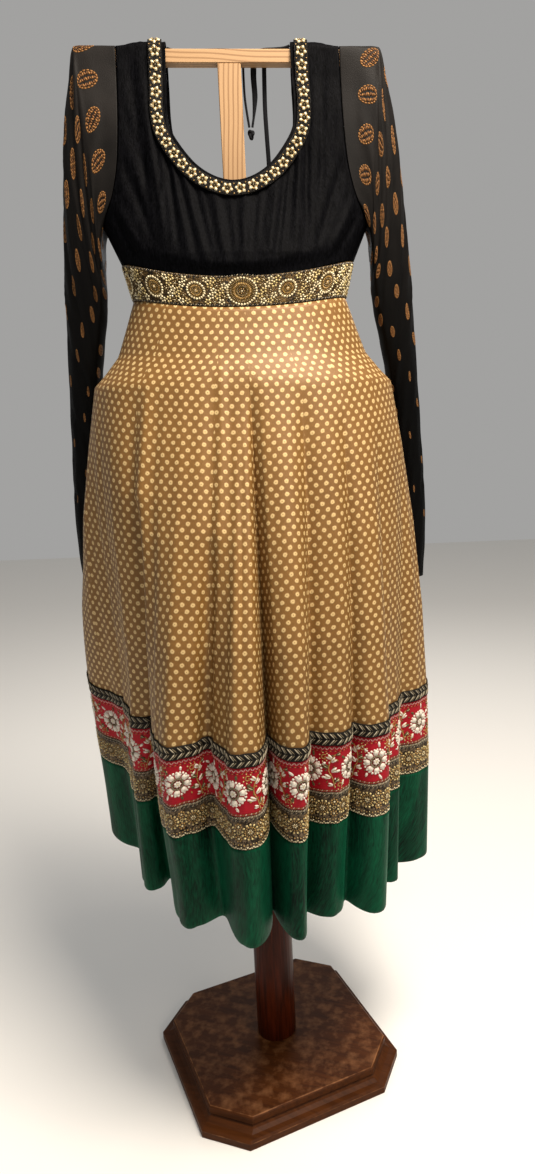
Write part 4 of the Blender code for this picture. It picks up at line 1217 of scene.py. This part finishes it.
# Chevron braid: a narrow woven tape of black and cream-grey, sewn over the brocade's lower edge with its
# points towards the wearer's left.
BRAID_WALL = 0.0018
CHEVRON_PITCH = 10.5


def woven_tape(name, dark, light):
    """Cotton and metal tape: near black, with a coarse rib across it."""
    made, tree, shader = start_material(name, Roughness=0.7, Specular_IOR_Level=0.1)
    where = add(tree, "UVMap", uv_map="cloth")
    rib = add(tree, "TexWave", {"Vector": where, "Scale": 150.0, "Distortion": 1.0}, bands_direction="X")
    patch = add(tree, "TexNoise", {"Vector": where, "Scale": 90.0, "Detail": 3.0})
    share = add(tree, "Math", {0: rib.outputs["Fac"], 1: patch.outputs["Fac"]}, operation="MULTIPLY")
    colour = add(tree, "Mix", {0: share, 6: linear(dark), 7: linear(light)}, data_type="RGBA").outputs[2]
    bump = add(tree, "Bump", {"Height": rib.outputs["Fac"], "Strength": 0.4, "Distance": 0.0006})
    tree.links.new(colour, shader.inputs["Base Color"])
    tree.links.new(bump.outputs[0], shader.inputs["Normal"])
    return made


tape = woven_tape("black_braid_tape", "#0b0a09", "#2b261f")
floss = zari_thread("embroidery_floss", 0.0)
for word in PLACES:
    points = skirt_cloth(word, np.linspace(BRAID_TOP_Z, FLORAL_TOP_Z + SEAM, 5), rise=BRAID_WALL)
    braid = shell("braid_" + word + "_tape", points, BRAID_WALL * 0.8, tape, "braid_" + word)
    cloth = cloth_of(points)
    length, tall = cloth["across"][-1] * 1000, cloth["down"][-1] * 1000
    stitches = []
    for k in range(int(length / CHEVRON_PITCH)):
        across = (k + 0.5) * CHEVRON_PITCH
        for half in (-1, 1):
            stitches += [(across - 1.4, tall / 2 + half * 4.7, -half * 0.82, 12.8, 2.0, 2.0, "grey"),
                         (across + 2.0, tall / 2 + half * 4.7, -half * 0.82, 12.4, 1.3, 1.6, "taupe")]
    chevrons = sewn("braid_" + word + "_chevrons", cloth, stitches, floss)


# Floral border: a band of red silk with large cream flowers in raised floss, leaves, sprigs and gilt
# curls between them, and a pink looped line along its upper edge.
FLORAL_PITCH = 67
SEED_PITCH = 2.3


def red_silk():
    """Raw silk dyed crimson: plain weave with slubs, matt between the stitches."""
    made, tree, shader = start_material("crimson_raw_silk", Roughness=0.62, Specular_IOR_Level=0.15)
    where = add(tree, "UVMap", uv_map="cloth")
    stretched = add(tree, "Mapping", {"Vector": where, "Scale": (180.0, 900.0, 1.0)})
    slubs = add(tree, "TexNoise", {"Vector": stretched, "Scale": 1.0, "Detail": 3.0})
    colour = add(tree, "Mix", {0: slubs.outputs["Fac"], 6: linear("#700611"), 7: linear("#b01023")},
                 data_type="RGBA").outputs[2]
    bump = add(tree, "Bump", {"Height": slubs.outputs["Fac"], "Strength": 0.4, "Distance": 0.0006})
    tree.links.new(colour, shader.inputs["Base Color"])
    tree.links.new(bump.outputs[0], shader.inputs["Normal"])
    return made


def stitched_line(points, length, width, thickness, thread, slant=0.0):
    """Stitches end to end along a smooth line through points, each slanted off it."""
    route, _ = even_route(points, length * 0.82)
    made = []
    for (x0, y0), (x1, y1) in zip(route, route[1:]):
        turn = math.atan2(y1 - y0, x1 - x0) + slant
        made.append(((x0 + x1) / 2, (y0 + y1) / 2, turn, length, width, thickness, thread))
    return made


def leaf(across, up, turn, length, thread, vein):
    """A leaf of two curved halves and a vein, from its stalk end."""
    half = length * 0.13
    halves = [(length / 2, side * half, side * 0.22, length, length * 0.34, 2.6, thread) for side in (-1, 1)]
    return moved(halves + [(length / 2, 0, 0, length * 0.8, 1.1, 3.0, vein)], across, up, turn)


big_flower = ring(8, 14.2, 11.0, 11.6, 4.2, "white") + ring(24, 18.6, 4.6, 4.2, 3.4, "white", start=0.5)
big_flower += ring(16, 8.4, 4.4, 3.8, 3.0, "taupe", along_it=True) + ring(12, 6.4, 2.6, 2.4, 2.8, "brown")
big_flower += ring(7, 3.4, 5.2, 3.8, 4.0, "white") + [(0, 0, 0, 3.0, 3.0, 5.0, "cream")]
for k, reach in enumerate((9, 11, 8, 10, 9, 12, 8)):
    turn, out = 2 * math.pi * (k + 0.5) / 7, 21.0 + reach / 2
    big_flower += [(out * math.cos(turn), out * math.sin(turn), turn + 0.3, reach, 4.6, 2.6,
                    "white" if k % 3 else "olive")]
sprig_up = stitched_line([(-6, -30), (-2, -14), (5, 2), (2, 18), (-5, 28)], 3.4, 2.2, 2.4, "gold", 0.35)
# A sprig's leaves: across, up, turn, length, thread
SPRIG_LEAVES = (
    (-4, -20, 2.5, 12, "olive"),
    (0, -12, 0.3, 13, "white"),
    (2, -2, 2.7, 13, "white"),
    (4, 5, 0.5, 13, "olive"),
    (2, 14, 2.4, 12, "white"),
    (-1, 20, 0.6, 12, "white"),
    (-4, -25, 0.2, 10, "white"),
    (-5, 27, 2.8, 9, "olive"),
)
for x, y, turn, reach, thread in SPRIG_LEAVES:
    sprig_up += leaf(x, y, turn, reach, thread, "gold" if thread == "white" else "cream")
curl = [(4.6 * math.cos(t) * (1 - t / 11), 4.6 * math.sin(t) * (1 - t / 11)) for t in range(7)]
gilt_curl = stitched_line(curl, 2.8, 1.9, 2.6, "gold", 0.3) + ring(7, 7.4, 2.5, 2.3, 2.8, "pale gold")
silk = red_silk()
for word in PLACES:
    points = skirt_cloth(word, np.linspace(FLORAL_TOP_Z - SEAM, GOLD_TOP_Z + SEAM, 14))
    border = shell("floral_border_" + word + "_cloth", points, BORDER_WALL, silk, "floral_border_" + word)
    cloth = cloth_of(points)
    length, tall = cloth["across"][-1] * 1000, cloth["down"][-1] * 1000
    stitches = []
    for k in range(int(length / 3.4)):
        lean = 0.9 if k % 2 else -0.9
        stitches += [((k + 0.5) * 3.4, tall - 4.0, lean, 6.2, 1.7, 2.0, "pink"),
                     ((k + 0.5) * 3.4, tall - 8.4, 0.5, 2.6, 1.4, 1.6, ("gold", "dark")[k % 2])]
        stitches += [((k + 0.5) * 3.4, 1.8, 0.6, 3.8, 1.7, 1.8, ("bronze", "grey")[k % 2])]
    for k in range(int(length / FLORAL_PITCH) + 1):
        middle = (k + 0.45) * FLORAL_PITCH
        turn = 0.9 * k
        stitches += moved(big_flower, middle, tall / 2 - 2, turn, 0.98)
        between = middle + FLORAL_PITCH / 2
        mirror = 1 if k % 2 else -1
        sprig_here = [(mirror * x, y, own if mirror > 0 else math.pi - own, *rest)
                      for x, y, own, *rest in sprig_up]
        stitches += moved(sprig_here, between, tall / 2 - 3, 0.0, 0.92)
        for side, up in ((-1, 11), (1, tall - 17)):
            stitches += moved(gilt_curl, between + mirror * side * 12, up, side * 0.9, 0.95)
    for k in range(int(length / SEED_PITCH)):
        across, up = (k + 0.5) * SEED_PITCH, tall * (0.14 + 0.66 * (k * 0.618 % 1))
        if abs((across / FLORAL_PITCH - 0.45 + 0.5) % 1 - 0.5) * FLORAL_PITCH > 15:
            stitches += [(across, up, 0.7 * k, 4.4, 2.2, 2.4, ("gold", "olive", "bronze", "white")[k % 4])]
    stitches = [s for s in stitches if 1.0 < s[1] < tall - 1.0]
    flowers = sewn("floral_border_" + word + "_floss", cloth, stitches, floss)


# Gold border: a band crusted with dull bronze beads, with brighter rosettes, a grey twisted cord along the
# top and a looped cream edge over the velvet.
ROSETTE_PITCH = 34
SCALLOP_PITCH = 8.5

gold_ground = backing("bronze_bead_ground", "#1c140d", "#71604b", 3.2, 0.2)
rosette = ring(13, 11.4, 3.9, 3.7, 3.4, "pale gold") + ring(15, 7.8, 3.4, 2.0, 2.6, "gold")
rosette += ring(9, 5.0, 2.8, 2.2, 3.0, "bronze") + ring(6, 2.6, 2.6, 2.2, 3.4, "cream")
rosette += [(0, 0, 0, 2.6, 2.6, 4.2, "gold")]
small_rosette = ring(7, 4.4, 3.4, 3.0, 3.0, "gold") + [(0, 0, 0, 3.6, 3.6, 3.8, "cream")]
for word in PLACES:
    points = skirt_cloth(word, np.linspace(GOLD_TOP_Z - SEAM, VELVET_TOP_Z + SEAM, 11))
    border = shell("gold_border_" + word + "_cloth", points, BORDER_WALL, gold_ground, "gold_border_" + word)
    cloth = cloth_of(points)
    length, tall = cloth["across"][-1] * 1000, cloth["down"][-1] * 1000
    stitches = twisted_cord(length, tall - 2.4, "grey", "taupe", 3.0)
    stitches += twisted_cord(length, tall - 6.0, "taupe", "dark", 3.2)
    for k in range(int(length / SCALLOP_PITCH)):
        across = (k + 0.5) * SCALLOP_PITCH
        for t in (0.3, 1.2, 1.95, 2.85):
            up = 4.2 - 2.6 * math.sin(t)
            stitches += [(across + 4.2 * math.cos(t), up, t + 1.57, 3.4, 1.8, 2.0, "cream")]
        stitches += [(across, 7.6, 0, 2.6, 2.6, 2.4, "gold")]
        stitches += [(across + 4.2, 8.4, 0, 2.0, 2.0, 2.0, "pale gold")]
    for k in range(int(length / ROSETTE_PITCH) + 1):
        middle = (k + 0.4) * ROSETTE_PITCH
        stitches += moved(rosette, middle, tall / 2 + 1, 0.8 * k)
        for side in (-1, 1):
            stitches += moved(small_rosette, middle + ROSETTE_PITCH / 2, tall / 2 + 1 + side * 9.5, 0.5 * k)
        stitches += moved(ring(6, 2.2, 2.0, 1.8, 2.4, "pale gold"), middle + ROSETTE_PITCH / 2, tall / 2 + 1)
    gilt_beads = sewn("gold_border_" + word + "_beads", cloth, stitches, beads)


# Velvet hem: a deep band of bottle-green velvet, crushed by wear into soft upright streaks, with painted
# sheen along them. It is sewn on under the gold border, and its foot hangs free in the folds.
VELVET_WALL = 0.0020


def crushed_velvet():
    """Rayon velvet: almost black-green, with a faint sheen, and brighter streaks and patches painted into its
    colour at random as painted sheen.
    """
    made, tree, shader = start_material("green_crushed_velvet", Roughness=0.5, Specular_IOR_Level=0.06,
                                        Sheen_Weight=0.1, Sheen_Roughness=0.3, Sheen_Tint=linear("#3fae82"))
    where = add(tree, "UVMap", uv_map="cloth")
    fine = add(tree, "Mapping", {"Vector": where, "Scale": (420.0, 60.0, 1.0)})
    streaks = add(tree, "TexNoise", {"Vector": fine, "Scale": 1.0, "Detail": 4.0, "Distortion": 0.8})
    broad = add(tree, "Mapping", {"Vector": where, "Scale": (22.0, 5.0, 1.0)})
    painted_sheen_patches = add(tree, "TexNoise", {"Vector": broad, "Scale": 1.0, "Detail": 3.0, "Distortion": 0.5})
    # painted sheen: the streaks and broad patches lift the velvet's colour from near black to bright green
    both = add(tree, "Math", {0: streaks.outputs["Fac"], 1: painted_sheen_patches.outputs["Fac"]}, operation="ADD")
    share = add(tree, "MapRange", {"Value": both, "From Min": 0.72, "From Max": 1.34})
    colour = add(tree, "Mix", {0: share.outputs[0], 6: linear("#02130c"), 7: linear("#074b31")},
                 data_type="RGBA").outputs[2]
    bump = add(tree, "Bump", {"Height": streaks.outputs["Fac"], "Strength": 0.4, "Distance": 0.0014})
    tree.links.new(colour, shader.inputs["Base Color"])
    tree.links.new(bump.outputs[0], shader.inputs["Normal"])
    return made


velvet = crushed_velvet()
for word in PLACES:
    points = skirt_cloth(word, np.linspace(VELVET_TOP_Z - SEAM, HEM_Z, 30))
    hem = shell("velvet_hem_" + word + "_cloth", points, VELVET_WALL, velvet, "velvet_hem_" + word)


# Floor and lights: a plain pale floor, a large soft light high in front, a weaker one on the right and two
# faint ones on the left and behind.
floor_bm = bmesh.new()
bmesh.ops.create_grid(floor_bm, x_segments=1, y_segments=1, size=6.0)
floor_mesh = bpy.data.meshes.new("floor")
floor_bm.to_mesh(floor_mesh)
floor_bm.free()
floor = bpy.data.objects.new("floor", floor_mesh)
bpy.context.scene.collection.objects.link(floor)
painted, _, painted_shader = start_material("pale_floor", Roughness=0.9)
painted_shader.inputs["Base Color"].default_value = linear("#e9e7e3")
floor_mesh.materials.append(painted)


def soft_light(name, place, towards, size, watts, colour):
    lamp = bpy.data.lights.new(name, "AREA")
    lamp.size = size
    lamp.energy = watts
    lamp.color = linear(colour)[:3]
    made = bpy.data.objects.new(name, lamp)
    facing = (Vector(towards) - Vector(place)).to_track_quat("-Z", "Y")
    made.matrix_world = Matrix.Translation(place) @ facing.to_matrix().to_4x4()
    bpy.context.scene.collection.objects.link(made)


soft_light("key", (1.7, -1.9, 2.5), (0.0, 0.0, 1.0), 1.0, 20, "#fff1de")
soft_light("top", (0.62, -0.80, 2.95), (0.0, -0.05, 1.0), 0.8, 110, "#fff4e6")
soft_light("fill", (-1.9, -2.0, 1.7), (0.0, 0.0, 0.9), 1.6, 3, "#f2f4ff")
soft_light("from_behind", (0.4, 2.2, 2.4), (0.0, 0.0, 1.0), 1.6, 14, "#ffffff")
world = bpy.data.worlds.new("studio")
world.use_nodes = True
world.node_tree.nodes["Background"].inputs["Color"].default_value = linear("#f4f3f1")
world.node_tree.nodes["Background"].inputs["Strength"].default_value = 0.4
bpy.context.scene.world = world
